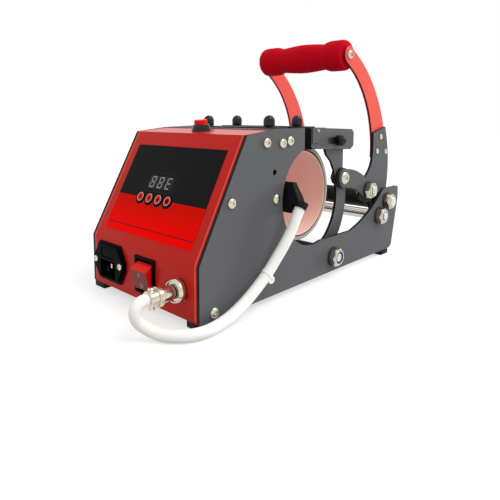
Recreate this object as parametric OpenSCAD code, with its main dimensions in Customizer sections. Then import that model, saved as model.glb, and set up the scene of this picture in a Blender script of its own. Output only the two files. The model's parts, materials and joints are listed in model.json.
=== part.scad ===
// Mug heat press: a sheet-metal stand with a control box, a wrap-round heater
// and a toggle handle that pulls the clamp head against the fixed jaw.
// Millimetres, +Z up, front of the press at -Y, floor at Z = 0.

/* [Frame] */
// Width over the two side plates
frame_w = 154; // [150:1:160]
// Length of the side plates, front to rear
frame_l = 328; // [324:1:338]
// Thickness of the side plates, arms, links and handle plates
plate_t = 3; // [2.5:0.5:3]
// Height of the rubber feet
foot_h = 6; // [5:0.5:9]
// Height of the upright lower front panel
low_panel_h = 45.7; // [45:0.1:48]
// How far the slanted panel leans back
panel_run = 53.3; // [50:0.1:56]
// How far the slanted panel rises
panel_rise = 98; // [96:0.5:102]
// Thickness of the folded cover sheet
sheet_t = 1.5; // [1:0.25:1.5]
// Height of the side plates under the heater
rail_h = 36.5; // [36:0.5:38]

/* [Heater] */
// Diameter of the mug that the heater pad closes on
mug_d = 86; // [84:0.5:88]
// Thickness of the silicone heater pad
pad_t = 1.4; // [1.2:0.1:1.8]
// Thickness of the jacket round the pad
band_t = 2.2; // [1.8:0.1:2.4]
// Width of the heater's mouth between its two brackets
mouth_w = 23.4; // [22:0.1:25]

/* [Clamp and handle] */
// Distance between the handle's pivot and the link pin
crank_r = 31.3; // [30.8:0.1:32]
// Thickness of the red handle bars
bar_t = 3; // [2.5:0.5:4]
// Largest diameter of the foam grip
grip_d = 33; // [30:1:35]
// Diameter of the handle's pivot shaft and of the stop rod
shaft_d = 12; // [10:1:12]
// Height of the small knobs
knob_h = 11; // [10:0.5:12]
// Diameter of the small knobs
knob_d = 11; // [10:0.5:12]

/* [Controls] */
// Width of the printed control overlay
overlay_w = 123; // [110:1:126]
// Height of the printed control overlay
overlay_h = 87; // [84:1:90]
// Diameter of the four keys
key_d = 10; // [9:0.5:10.5]
// Distance between neighbouring keys
key_pitch = 13; // [12.5:0.5:14]
// Width of the rocker switch's bezel
rocker_w = 27.5; // [26:0.5:28]
// Height of the rocker switch's bezel
rocker_h = 32; // [31:0.5:34]

/* [Lead] */
// Diameter of the heater's sleeved lead
lead_d = 9.6; // [8:0.2:10]

/* [Hidden] */
$fn = 72;
gap = 0.4;                       // between neighbouring moving sheets
side_x = frame_w / 2;            // outer face of a side plate
in_x = side_x - plate_t;         // inner face of a side plate
cover_x = in_x - 0.1;            // half width of the cover and the base
arm_x = in_x - 13.5;              // inner face of the arms and handle plates
link_x = arm_x + plate_t + gap;  // inner face of the links and ears
bush_l = in_x - link_x - 0.1;    // bushes between handle plates and sides

bend_z = foot_h + low_panel_h;   // fold between upright and slanted panel
panel_z = bend_z + panel_rise;   // fold between slanted panel and top
lean = atan(panel_run / panel_rise);
panel_l = norm([panel_run, panel_rise]);
top_y = panel_run + 36.7;        // rear edge of the red cover
top_tilt = 5;                    // slope of the red top
top_rise = (top_y - panel_run) * tan(top_tilt);
jaw_z = panel_z + top_rise + 0.6; // top face of the fixed jaw and the head
rail_z = foot_h + rail_h;        // top edge of the plates under the heater
horn_z = rail_z + 38;            // top of the rear horns

heater_r = mug_d / 2 + pad_t + band_t;
heater_y = 151.5;
heater_z = rail_z + heater_r;
heater_l = 2 * (arm_x - 1.5);
jaw_y = heater_y - 19.5;         // rear edge of the fixed jaw
jaw_side_h = 18;                 // height of its folded sides
jaw_gap = 7;                     // between its folded lip and the heater
wall_y = heater_y - heater_r - 6.9; // back wall of the control box
bracket_t = 1.2;
front_leg_y = jaw_y - 1;
rear_leg_y = front_leg_y + bracket_t + mouth_w;
head_y = rear_leg_y + bracket_t + 0.2;
ear_y = head_y + 80;             // rear end of the clamp head's ears
stud_y = head_y + 46;            // stud that locks an ear to its arm
stud_z = jaw_z - 13.6;
stud_r = 2.5;
knob_x = link_x - 21.6;           // the four upright knobs
knob_front_y = front_leg_y - 9;
knob_rear_y = rear_leg_y + 10.4;

arm_pivot = [heater_y + 33, foot_h + 15.5];
arm_pin = [heater_y + heater_r + 18.9, heater_z + 9.9];
handle_pivot = [frame_l - 29.5, rail_z + 22.5];
crank_a = 151.4;
crank_pin = handle_pivot + crank_r * [cos(crank_a), sin(crank_a)];
stop_rod = handle_pivot + [-18.5, -15];
link_l = norm(crank_pin - arm_pin);
link_a = atan2(crank_pin[1] - arm_pin[1], crank_pin[0] - arm_pin[0]);
link_end_r = 11;
slot_run = 5;                    // play of the arm pin along the link
slot_r = 6.3;                    // and half of it across the link
pin_r = 4;
crank_pin_r = 5;
shaft_r = shaft_d / 2;
arm_shaft_r = 5;
run_gap = 0.05;                  // radial clearance of a turning bore
grip_axis = handle_pivot + [-63, 166.2];
grip_l = 2 * (arm_x - bar_t);
grip_shoulder = 2.6;             // of the rod, between the foam and each bar
rivets = [[7.5, 75.3], [-0.6, 58.3], [20.5, 57]]; // from the handle pivot

face_x = -6.5;                   // middle of the display and the keys
key_x = [for (i = [0:3]) face_x + (i - 1.5) * key_pitch];
key_s = 45;                      // keys, measured up the slanted panel
overlay_s = 10;
overlay_t = 0.5;
window = [38, 14];
window_s = 61;
window_x = face_x - window[0] / 2;
button_y = panel_run + 19.5;
inlet_x = 28.6 - in_x;
inlet_z = foot_h + 24.5;
inlet_screws = [inlet_x - 20, inlet_x + 20];
inlet_t = 4.3;                   // flange of the power inlet
rocker_x = 8.5;
rocker_z = foot_h + 23.5;
rocker_tilt = 15;
rocker_reach = 10.3;             // front corners ahead of the rocker's pivot
rocker_half = rocker_h / 2 - 6.8;
rocker_y = 4;
socket_x = side_x - 22.3;
socket_z = foot_h + 23.5;
socket_r = 7.4;
screw_r = 2.4;

boot_y = heater_y - heater_r + 3.6; // where the lead leaves the boot
boot_z = heater_z - 5.5;
boot_x = side_x + 12.5;
boot_dir = [-0.5, -5.5, -9];     // along the lead's first span
ring_y = 1.6;                    // coupling ring of the lead's plug
ring_l = 6.8;
mid_y = (frame_l - ring_y - ring_l) / 2;

// Screws through each side plate, front to rear and up.
plate_screws = [
    [panel_run + 24.4, jaw_z - 11],
    [top_y + 9.2, jaw_z - 12.2],
    [top_y + 19.8, jaw_z - 10.4],
    [panel_run / 2 + 9.5 * cos(lean), bend_z + panel_rise / 2 - 9.5 * sin(lean)],
    [wall_y - 7.3, heater_z + 3.8],
    [15.2, foot_h + 6.2]
];
spare_hole = [wall_y - 9.5, heater_z + 27.6];
feet = [[in_x - 5, 10], [in_x - 7, frame_l - 30]];

// Lead from the heater's boot round the front corner to its plug,
// measured from the side plate's outer face.
lead_end_y = -32;
lead_path = [
    [12.5, boot_y, boot_z],
    [12.5 + boot_dir[0], boot_y + boot_dir[1], boot_z + boot_dir[2]],
    [11.5, 97.5, 64.7],
    [10.5, 89, 53.5],
    [9, 80.8, 43.6],
    [8, 71, 33.4],
    [7.2, 61, 25.2],
    [7.2, 49.5, 18.2],
    [7.7, 38, 12.8],
    [8.6, 25, 8.6],
    [9.4, 11, 6.2],
    [9, -2.5, 5.2],
    [5.5, -13.5, 5],
    [-1.5, -22, 5],
    [-8.3, -27.2, 5.2],
    [-15, -31.5, 7],
    [-19.5, -36.5, 11],
    [-21.8, -40.8, 16],
    [-22.3, -42.8, 21.5],
    [-22.3, -41, socket_z - 2.9],
    [-22.3, -36.5, socket_z],
    [-22.3, lead_end_y, socket_z]
];
lead_sides = 10;

// Puts the middle of the press over the origin.
module place() translate([0, -mid_y, 0]) children();

// Extrudes a front-to-rear outline sideways from x.
module sheet(x, t) translate([x, 0, 0]) rotate([90, 0, 90]) linear_extrude(height = t) children();

module both() {
    children();
    mirror([1, 0, 0]) children();
}

module both_ends() {
    children();
    mirror([0, 0, 1]) children();
}

// A rod along X at an outline point.
module rod(p, r, x, l) translate([x, p[0], p[1]]) rotate([0, 90, 0]) cylinder(r = r, h = l);

// A hexagon across X at an outline point, af across its flats.
module hex(p, af, x, l) translate([x, p[0], p[1]]) rotate([0, 90, 0])
    cylinder(d = af / cos(30), h = l, $fn = 6);

// Child shapes lie on the slanted panel: x across, y up the slope, z outward.
module on_panel() translate([0, 0, bend_z]) rotate([90 - lean, 0, 0]) children();

// Child shapes stand on the red top at the timer button.
module on_top() translate([0, button_y, panel_z + (button_y - panel_run) * tan(top_tilt)])
    rotate([top_tilt, 0, 0]) children();

module block(x, y, z) translate([x[0], y[0], z[0]]) cube([x[1] - x[0], y[1] - y[0], z[1] - z[0]]);

// Point of the slanted panel's outline, f of the way up and d deep.
function slope_point(f, d) =
    [panel_run * f + d * cos(lean), bend_z + panel_rise * f - d * sin(lean)];

function round_corner(c, r, a) = [for (i = [0:4]) c + r * [cos(a + i * 22.5), sin(a + i * 22.5)]];

function arc_r(half, rise) = (half * half + rise * rise) / (2 * rise);

module side_outline() {
    difference() {
        polygon(concat(
            [[0, foot_h], [0, bend_z], [panel_run, panel_z], [top_y, jaw_z], [jaw_y, jaw_z + 1],
             [jaw_y, horn_z]],
            [for (i = [4:-1:0]) round_corner([frame_l - 4, horn_z - 4], 4, 0)[i]],
            [[frame_l, horn_z - 16], [frame_l - 13.5, foot_h + 3], [frame_l - 19, foot_h]]
        ));
        translate([heater_y - 3.4, heater_z]) circle(r = heater_r + 1.6);
        intersection() {
            translate([frame_l - 145.8, rail_z + 154.4]) circle(r = 158.5);
            translate([jaw_y, rail_z]) square([frame_l, 200]);
        }
        for (p = plate_screws) translate(p) circle(r = screw_r + 0.1);
        translate(spare_hole) circle(d = 5);
        translate(arm_pivot) circle(r = arm_shaft_r + 0.1);
        translate(handle_pivot) circle(r = shaft_r + 0.1);
        translate(stop_rod) circle(r = shaft_r - 1.9);
    }
}

module side_plate_right() color("#66686a") sheet(in_x, plate_t) side_outline();

module side_plate_left() color("#66686a") mirror([1, 0, 0]) sheet(in_x, plate_t) side_outline();

// One folded sheet: upright panel, slanted panel and top, with side flanges.
module front_cover() {
    n1 = [1, 0];
    n2 = [cos(lean), -sin(lean)];
    n3 = [sin(top_tilt), -cos(top_tilt)];
    low = [0, bend_z] + sheet_t * (n1 + n2) / (1 + n1 * n2);
    high = [panel_run, panel_z] + sheet_t * (n2 + n3) / (1 + n2 * n3);
    top = [top_y, panel_z + top_rise];
    color("#b5302b") difference() {
        union() {
            sheet(-cover_x, 2 * cover_x) polygon([[0, foot_h], [0, bend_z], [panel_run, panel_z], top,
                top - [0, sheet_t], high, low, [sheet_t, foot_h]]);
            both() sheet(cover_x - sheet_t, sheet_t) {
                polygon([slope_point(0.14, sheet_t / 2), slope_point(0.86, sheet_t / 2),
                    slope_point(0.82, 18), slope_point(0.18, 18)]);
                polygon([[panel_run + 14, panel_z], [top_y - 1, panel_z + top_rise - sheet_t / 2],
                    [top_y - 1, jaw_z - 19], [panel_run + 16, jaw_z - 19]]);
            }
        }
        both() for (i = [0, 3]) rod(plate_screws[i], screw_r + 0.2, cover_x - 4, 8);
        block([inlet_x - 14, inlet_x + 14], [-1, sheet_t + 1], [inlet_z - 16, inlet_z + 16]);
        block([rocker_x - rocker_w / 2 + 1, rocker_x + rocker_w / 2 - 1], [-1, sheet_t + 1],
            [rocker_z - rocker_h / 2 + 1, rocker_z + rocker_h / 2 - 1]);
        for (x = inlet_screws) translate([x, 0, inlet_z]) rotate([-90, 0, 0])
            cylinder(r = 1.6, h = 10, center = true);
        translate([socket_x, 0, socket_z]) rotate([-90, 0, 0])
            cylinder(r = socket_r + 0.1, h = 10, center = true);
        on_panel() {
            translate([window_x, window_s - window[1] / 2, -5]) cube([window[0], window[1], 10]);
            for (x = key_x) translate([x, key_s, -5]) cylinder(d = key_d + 1.2, h = 10);
        }
        on_top() cylinder(r = 7.3, h = 10, center = true);
    }
}

// Floor of the control box, and an angle that carries each rear foot.
module base_plate() color("#55575a") difference() {
    union() {
        block([-cover_x, cover_x], [sheet_t + 0.2, wall_y + sheet_t], [foot_h, foot_h + sheet_t]);
        both() {
            block([cover_x - sheet_t, cover_x], [8, wall_y - 16], [foot_h, foot_h + 15]);
            block([in_x - 17, in_x], [frame_l - 42, frame_l - 20], [foot_h, foot_h + sheet_t]);
            block([in_x - sheet_t, in_x], [frame_l - 42, frame_l - 22], [foot_h, foot_h + 12]);
        }
    }
    both() rod(plate_screws[5], screw_r + 0.2, cover_x - 4, 8);
}

module rubber_feet() color("#1b1b1c") both() for (p = feet) translate([p[0], p[1], 0])
    cylinder(r1 = 7.2, r2 = 8, h = foot_h);

// Back of the control box, with a flange on each side.
module rear_wall() color("#55575a") difference() {
    union() {
        block([-cover_x, cover_x], [wall_y, wall_y + sheet_t], [foot_h + sheet_t, jaw_z - sheet_t]);
        both() block([cover_x - sheet_t, cover_x], [wall_y - 14, wall_y + sheet_t / 2],
            [foot_h + 18, jaw_z - 21]);
    }
    both() {
        for (i = [1, 4]) rod(plate_screws[i], screw_r + 0.2, cover_x - 4, 8);
        rod(spare_hole, 3, cover_x - 4, 8);
        block([cover_x - sheet_t - 0.1, cover_x + 1], [wall_y - 1, wall_y + sheet_t + 1],
            [jaw_z - jaw_side_h - 0.2, jaw_z]);
    }
}

// Fixed jaw: a folded plate that carries the heater's front bracket on two studs.
module top_plate() color("#6f7173") {
    jaw_end = front_leg_y - 0.2;
    difference() {
        union() {
            block([-cover_x, cover_x], [top_y + 0.3, jaw_end], [jaw_z - sheet_t, jaw_z]);
            both() block([cover_x - sheet_t, cover_x], [top_y + 0.3, jaw_end], [jaw_z - jaw_side_h, jaw_z]);
            block([-cover_x, cover_x], [jaw_end - sheet_t, jaw_end],
                [wall_top(heater_y - jaw_end) + jaw_gap, jaw_z]);
        }
        both() for (i = [1, 2]) rod(plate_screws[i], screw_r + 0.2, cover_x - 4, 8);
    }
    both() translate([knob_x, knob_front_y, jaw_z - sheet_t / 2]) cylinder(r = stud_r, h = 8);
}

// Button-head screw pointing inward at a side plate's outer face.
module side_screw(p) {
    rod(p, screw_r, side_x - 7, 7.5);
    difference() {
        translate([side_x, p[0], p[1]]) rotate([0, 90, 0]) union() {
            cylinder(r = 4.5, h = 0.9);
            translate([0, 0, 0.9]) cylinder(r1 = 4.5, r2 = 3, h = 1.5);
        }
        hex(p, 3, side_x + 1, 4);
    }
}

module frame_screws() color("#d9d6cf") {
    both() for (p = plate_screws) side_screw(p);
    for (x = inlet_screws) translate([x, 0, inlet_z]) rotate([90, 0, 0]) union() {
        translate([0, 0, -4]) cylinder(r = 1.5, h = inlet_t + 4.5);
        translate([0, 0, inlet_t]) cylinder(r1 = 3, r2 = 2.2, h = 1.4);
    }
}

module control_overlay() color("#c81e12") on_panel() difference() {
    translate([-overlay_w / 2, overlay_s, 0]) cube([overlay_w, overlay_h, overlay_t]);
    translate([window_x, window_s - window[1] / 2, -1]) cube([window[0], window[1], 3]);
    for (x = key_x) translate([x, key_s, -1]) cylinder(d = key_d + 0.8, h = 3);
}

module display_window() color("#2c3430") on_panel()
    translate([window_x + 0.2, window_s + 0.2 - window[1] / 2, -sheet_t])
        cube([window[0] - 0.4, window[1] - 0.4, sheet_t + overlay_t - 0.1]);

// Circuit board behind the panel, with its display block, key switches and pillars.
module control_board() color("#2f6b3c") on_panel() {
    translate([-58, 20, -14]) cube([116, 70, 1.6]);
    translate([window_x + 0.5, window_s - window[1] / 2, -13]) cube([window[0] - 1, window[1], 11.3]);
    for (x = key_x) translate([x - 3, key_s - 3, -13]) cube([6, 6, 9.4]);
    for (x = [-52, 52], y = [26, 84]) translate([x, y, -13]) cylinder(r = 3, h = 13 - sheet_t);
}

module key(i) color("#c0281f") on_panel() translate([key_x[i], key_s, 0]) {
    translate([0, 0, -2]) cylinder(d = key_d, h = overlay_t + 2.9);
    translate([0, 0, -3]) cylinder(r = 2, h = 2);
}

module button_base() color("#1c1c1d") on_top() difference() {
    union() {
        cylinder(r1 = 9.5, r2 = 7.7, h = 6);
        translate([0, 0, -8]) cylinder(r = 7, h = 9);
    }
    translate([0, 0, -6]) cylinder(r = 6.6, h = 20);
}

module button_cap() color("#c4231c") on_top() translate([0, 0, -3]) cylinder(r = 6.2, h = 13.4);

module rocker_bezel() color("#1c1c1d") translate([rocker_x, 0, rocker_z]) difference() {
    union() {
        block([-rocker_w / 2, rocker_w / 2], [-2, 0], [-rocker_h / 2, rocker_h / 2]);
        block([1.2 - rocker_w / 2, rocker_w / 2 - 1.2], [-0.5, 17],
            [1.2 - rocker_h / 2, rocker_h / 2 - 1.2]);
    }
    block([2.7 - rocker_w / 2, rocker_w / 2 - 2.7], [-3, 15], [2 - rocker_h / 2, rocker_h / 2 - 2]);
    rod([rocker_y, 0], 1.5 + run_gap, 1.6 - rocker_w / 2, rocker_w - 3.2);
}

// Tilted so that its upper end stands out.
module rocker() color("#c4231c") translate([rocker_x, rocker_y, rocker_z]) rotate([rocker_tilt, 0, 0]) {
    sheet(3.1 - rocker_w / 2, rocker_w - 6.2) polygon([[-rocker_reach, rocker_half],
        [-rocker_reach, -rocker_half], [-1, -rocker_half - 2.8], [2, 2 - rocker_half], [2, rocker_half - 2],
        [-1, rocker_half + 2.8]]);
    rod([0, 0], 1.5, 1.8 - rocker_w / 2, rocker_w - 3.6);
}

// Eight-sided outline of the power inlet, drawn in by a step.
module inlet_shape(step) {
    x = 25 - step;
    z = 18 - step;
    polygon([[-x, 4], [8 - x, z], [x - 8, z], [x, 4], [x, -4], [x - 8, -z], [8 - x, -z], [-x, -4]]);
}

// Power inlet: a stepped flange with a socket recess below a fuse drawer.
module power_inlet() color("#1d1d1f") translate([inlet_x, 0, inlet_z]) difference() {
    union() {
        rotate([90, 0, 0]) {
            linear_extrude(height = inlet_t / 2) inlet_shape(0);
            linear_extrude(height = inlet_t) inlet_shape(2.2);
        }
        block([-13.6, 13.6], [-1, 24], [-15.6, 15.6]);
    }
    block([-12.2, 12.2], [-10, 12], [-14.6, 1.8]);
    block([-10.3, 10.3], [-10, 20], [4.2, 13.8]);
    for (x = [-20, 20]) translate([x, 0, 0]) rotate([90, 0, 0]) cylinder(r = 1.7, h = 20, center = true);
}

module inlet_pins() color("#d8d2c0") translate([inlet_x, 0, inlet_z - 6.4])
    for (p = [[-7, -2], [0, 2], [7, -2]]) block([p[0] - 1, p[0] + 1], [0, 12], [p[1] - 2, p[1] + 2]);

module fuse_drawer() color("#1d1d1f") translate([inlet_x, 0, inlet_z])
    block([-9.9, 9.9], [0.4 - inlet_t, 19.5], [4.6, 13.4]);

// Child shapes point forward from the lead's socket.
module on_socket() translate([socket_x, 0, socket_z]) rotate([90, 0, 0]) children();

module panel_socket() color("#c9c4b8") on_socket() {
    cylinder(r = 9.6, h = 1.2);
    translate([0, 0, -13]) cylinder(r = socket_r, h = 20);
    translate([0, 0, -sheet_t - 3]) cylinder(d = 19 / cos(30), h = 3, $fn = 6);
}

module plug_ring() color("#d6d1c6") on_socket() translate([0, 0, ring_y]) difference() {
    union() {
        cylinder(r = 10, h = ring_l - 3);
        translate([0, 0, ring_l - 3]) cylinder(r1 = 10, r2 = 9, h = 3);
    }
    translate([0, 0, -1]) cylinder(r = socket_r + run_gap, h = 20);
    translate([0, 0, ring_l - 3.2]) cylinder(r = socket_r + 0.9, h = 5);
}

// Tapered plug with a collar, and a saddle with two lugs that grips the lead.
module lead_plug() color("#cfcabf") on_socket() {
    translate([0, 0, 7.1]) cylinder(r1 = 4.2, r2 = 6.5, h = 14);
    translate([0, 0, 21]) cylinder(r = 8, h = 3.4);
    translate([0, 0, 24.4]) cylinder(r = 6.6, h = -lead_end_y - 24.4);
    translate([0, -8.8, 28.2]) rotate([-90, 0, 0]) cylinder(r = 2.5, h = 17.6);
}

// Tube of flat sides swept along the lead's points.
module heater_lead() {
    path = [for (p = lead_path) p + [side_x, 0, 0]];
    last = len(path) - 1;
    ref = [1, -1, 0] / sqrt(2);
    rings = [for (i = [0:last])
        let (a = path[max(i - 1, 0)], b = path[min(i + 1, last)], t = (b - a) / norm(b - a),
             u = cross(t, ref) / norm(cross(t, ref)), v = cross(t, u))
            for (k = [0:lead_sides - 1])
                path[i] + lead_d / 2 * (u * cos(k * 360 / lead_sides) + v * sin(k * 360 / lead_sides))];
    sides = [for (i = [0:last - 1], k = [0:lead_sides - 1])
        let (m = (k + 1) % lead_sides)
            [i * lead_sides + k, i * lead_sides + m, (i + 1) * lead_sides + m, (i + 1) * lead_sides + k]];
    ends = [[for (k = [lead_sides - 1:-1:0]) k], [for (k = [0:lead_sides - 1]) last * lead_sides + k]];
    color("#efece2") polyhedron(points = rings, faces = concat(sides, ends));
}

// Turns the Z axis onto a direction.
module along(v) rotate([0, acos(v[2] / norm(v)), atan2(v[1], v[0])]) children();

// Moulded boot on the heater's end that turns the lead downward.
module lead_boot() color("#1a1a1b") {
    x0 = heater_l / 2;
    intersection() {
        translate([0, boot_y + 3.5, heater_z]) rotate([90, 0, 0]) linear_extrude(height = 20)
            polygon([[x0, 17], [boot_x - 6.5, 17], [boot_x + 2.5, 2], [boot_x + 2.5, -2],
                [boot_x - lead_d / 2 - 0.4, -2], [boot_x - lead_d / 2 - 0.4, -10], [x0, -10]]);
        rod([heater_y, heater_z], heater_r + 1.2, x0, 60);
    }
    translate([boot_x, boot_y, boot_z] - 0.57 * boot_dir) along(boot_dir)
        cylinder(r1 = 6.2, r2 = 5.7, h = 0.57 * norm(boot_dir));
}

// Clip round the lead with a lug for its fixing screw.
module cable_tie() {
    a = lead_path[5] + [side_x, 0, 0];
    b = lead_path[6] + [side_x, 0, 0];
    color("#f0eee6") translate(a + (b - a) * 0.15) along(b - a) difference() {
        union() {
            cylinder(r = lead_d / 2 + 0.7, h = 3.2, center = true);
            translate([0, -1.2, -1.6]) cube([8, 2.4, 3.2]);
            translate([8, 0, 0]) rotate([90, 0, 0]) cylinder(r = 3.4, h = 2.4, center = true);
        }
        cylinder(r = lead_d / 2 + run_gap, h = 10, center = true);
        translate([8, 0, 0]) rotate([90, 0, 0]) cylinder(r = 0.8, h = 4, center = true);
    }
}

// Wall of the heater between two radii, cut at its mouth and below the mug.
module heater_wall(r1, r2, front) {
    difference() {
        translate([heater_y, heater_z]) difference() {
            circle(r = r2);
            circle(r = r1);
        }
        if (front) {
            translate([heater_y - 0.2, 0]) square([200, heater_z]);
            translate([front_leg_y + bracket_t, heater_z]) square([200, 200]);
        } else {
            translate([heater_y + 0.2 - 200, 0]) square([200, heater_z]);
            translate([rear_leg_y - 200, heater_z]) square([200, 200]);
        }
    }
}

// Height of the heater's outside at a distance from its middle.
function wall_top(d) = heater_z + sqrt(heater_r * heater_r - d * d) - band_t / 2;

module flange_slots(y) both() translate([knob_x, y, jaw_z - 1]) {
    for (x = [-3, 3]) translate([x, 0, 0]) cylinder(r = stud_r + 0.3, h = 4);
    translate([-3, -stud_r - 0.3, 0]) cube([6, 2 * stud_r + 0.6, 4]);
}

module heater_pad_front() color("#c98d82") sheet(-heater_l / 2, heater_l)
    heater_wall(mug_d / 2, mug_d / 2 + pad_t, true);

module heater_pad_rear() color("#c98d82") sheet(-heater_l / 2, heater_l)
    heater_wall(mug_d / 2, mug_d / 2 + pad_t, false);

module heater_band_front() color("#c7c3ba") {
    x = heater_l / 2 - 2;
    sheet(-heater_l / 2, heater_l) heater_wall(mug_d / 2 + pad_t, heater_r, true);
    block([-x, x], [front_leg_y, front_leg_y + bracket_t],
        [wall_top(heater_y - front_leg_y), jaw_z + bracket_t]);
    difference() {
        block([-x, x], [front_leg_y - 20, front_leg_y + bracket_t / 2], [jaw_z, jaw_z + bracket_t]);
        flange_slots(knob_front_y);
    }
}

module heater_band_rear() color("#c7c3ba") {
    x = heater_l / 2 - 2;
    sheet(-heater_l / 2, heater_l) heater_wall(mug_d / 2 + pad_t, heater_r, false);
    block([-x, x], [rear_leg_y, rear_leg_y + bracket_t],
        [wall_top(rear_leg_y + bracket_t - heater_y), jaw_z + bracket_t]);
    difference() {
        block([-x, x], [rear_leg_y + bracket_t / 2, rear_leg_y + 21], [jaw_z, jaw_z + bracket_t]);
        flange_slots(knob_rear_y);
    }
}

module edge_strip_front() color("#1b1b1c") block([3 - heater_l / 2, heater_l / 2 - 3],
    [front_leg_y + bracket_t, front_leg_y + bracket_t + 1.6], [heater_z + 38, heater_z + heater_r + 6]);

module edge_strip_rear() color("#1b1b1c") block([3 - heater_l / 2, heater_l / 2 - 3],
    [rear_leg_y - 1.6, rear_leg_y], [heater_z + 42, heater_z + heater_r + 10]);

module ear_outline() {
    difference() {
        polygon([[head_y, jaw_z], [head_y + 12, jaw_z], [ear_y - 4, jaw_z - 2.4], [ear_y, jaw_z - 6],
            [ear_y, jaw_z - 20], [ear_y - 6, jaw_z - 24.3], [head_y + 2.5, jaw_z - 20.8],
            [head_y, jaw_z - 18.4]]);
        for (y = [-14, 4]) translate([stud_y + y, stud_z]) circle(r = 3.2);
        translate([stud_y - 14, stud_z - 3.2]) square([18, 6.4]);
    }
}

// Moving jaw: a folded head with two ears, bolted to the arms through their slots.
module clamp_head() color("#6f7173") {
    x = link_x + plate_t;
    block([-x, x], [head_y, head_y + 25], [jaw_z - 2, jaw_z]);
    block([-x, x], [head_y, head_y + 2], [heater_z + heater_r - 0.2, jaw_z]);
    both() sheet(link_x, plate_t) ear_outline();
    both() translate([knob_x, knob_rear_y, jaw_z - 1]) cylinder(r = stud_r, h = 8);
}

module head_tabs() color("#6f7173") both() sheet(link_x + plate_t, 1.2) difference() {
    translate([head_y + 1, jaw_z - 15]) square([12, 15]);
    difference() {
        translate([head_y + 9, jaw_z - 15.5]) square([5, 4.5]);
        translate([head_y + 9, jaw_z - 11]) circle(r = 4);
    }
}

// Curved arm from its foot pivot round the heater to an upright post.
module arm_outline() {
    post_y = head_y + 29.8;
    post_top = stud_z + 8.6;
    difference() {
        union() {
            difference() {
                intersection() {
                    translate([heater_y + 7, heater_z - 9.8]) circle(r = heater_r + 23.3);
                    translate([heater_y + 26.5, 0]) square([100, arm_pin[1] + 8]);
                }
                translate([heater_y + 2.7, heater_z - 7.1]) circle(r = heater_r + 9.2);
            }
            translate(arm_pivot) circle(r = 12);
            translate(arm_pin) circle(r = 11);
            polygon([[post_y, post_top], [post_y, heater_z + 42], [post_y + 3, heater_z + 36],
                [arm_pin[0] - 18.7, arm_pin[1] + 19.2], [arm_pin[0] - 9, arm_pin[1] + 4],
                [arm_pin[0] + 4.6, arm_pin[1] + 6], [arm_pin[0] + 4.6, post_top]]);
        }
        translate(arm_pivot) circle(r = arm_shaft_r + run_gap);
        translate(arm_pin) circle(r = pin_r + 0.1);
        translate([stud_y, stud_z]) circle(r = stud_r + 0.1);
    }
}

module clamp_arm_right() color("#6f7173") sheet(arm_x, plate_t) arm_outline();

module clamp_arm_left() color("#6f7173") mirror([1, 0, 0]) sheet(arm_x, plate_t) arm_outline();

module arm_tube() color("#2a2a2b") difference() {
    rod(arm_pivot, 9, -arm_x, 2 * arm_x);
    rod(arm_pivot, arm_shaft_r + run_gap, -side_x, frame_w);
}

// Pins through the links and studs through the ears, both fixed to the arms.
module arm_pins() color("#d2cdc2") both() {
    outer = link_x + plate_t;
    hex(arm_pin, 13, arm_x - 5, 5);
    rod(arm_pin, pin_r, arm_x - 1, plate_t + 5);
    rod(arm_pin, pin_r, arm_x + plate_t, outer + gap + 0.5 - arm_x - plate_t);
    rod(arm_pin, 10.5, outer + gap, 1.5);
    translate([outer + gap + 1, arm_pin[0], arm_pin[1]]) rotate([0, 90, 0])
        cylinder(r1 = 5.4, r2 = 3.8, h = 3.6);
    hex([stud_y, stud_z], 8, arm_x - 3.5, 3.5);
    rod([stud_y, stud_z], stud_r, arm_x - 1, outer + 7 - arm_x);
}

// Crescent between the arm's pin and the handle's pin, slotted at the arm.
module link_outline() {
    half = link_l / 2;
    top_r = arc_r(half, 4.7);
    low_r = arc_r(half, 7.4);
    translate(arm_pin) rotate(link_a) difference() {
        union() {
            intersection() {
                difference() {
                    translate([half, 14.5 - top_r]) circle(r = top_r);
                    translate([half, -5.4 - low_r]) circle(r = low_r);
                }
                translate([3, -30]) square([link_l - 6, 60]);
            }
            circle(r = link_end_r);
            translate([link_l, 0]) circle(r = link_end_r);
        }
        circle(r = slot_r);
        translate([slot_run, 0]) circle(r = slot_r);
        translate([0, -slot_r]) square([slot_run, 2 * slot_r]);
        translate([link_l, 0]) circle(r = crank_pin_r + run_gap);
    }
}

module link_right() color("#77797b") sheet(link_x, plate_t) link_outline();

module link_left() color("#77797b") mirror([1, 0, 0]) sheet(link_x, plate_t) link_outline();

// Handle plate: hub, crank boss with a stop tip, and a limb that carries the bar.
module handle_outline() {
    boss = crank_pin - handle_pivot;
    translate(handle_pivot) difference() {
        union() {
            intersection() {
                translate([-96.6, 38.4]) circle(r = 124.6);
                difference() {
                    polygon([[-10.5, 80.5], [19, 87.5], [33, 87.5], [33, -4], [-13.5, -4], boss,
                        [-26.2, boss[1] + 12], [-26.2, 57.4], [-10.5, 57.4]]);
                    translate([-41.7, 57.4]) circle(r = 31);
                }
            }
            circle(r = 16);
            translate(boss) circle(r = 13);
            polygon([boss + [-12, -4], boss + [-6.3, -9.4], boss + [3.9, -17], boss + [10.9, -13.8],
                [-13, -9], [0, 0], [-13, 30]]);
        }
        circle(r = shaft_r + run_gap);
        translate(boss) circle(r = crank_pin_r + 0.1);
        for (p = rivets) translate(p) circle(r = 2.1);
    }
}

module handle_plate_right() color("#6f7173") sheet(arm_x, plate_t) handle_outline();

module handle_plate_left() color("#6f7173") mirror([1, 0, 0]) sheet(arm_x, plate_t) handle_outline();

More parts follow.
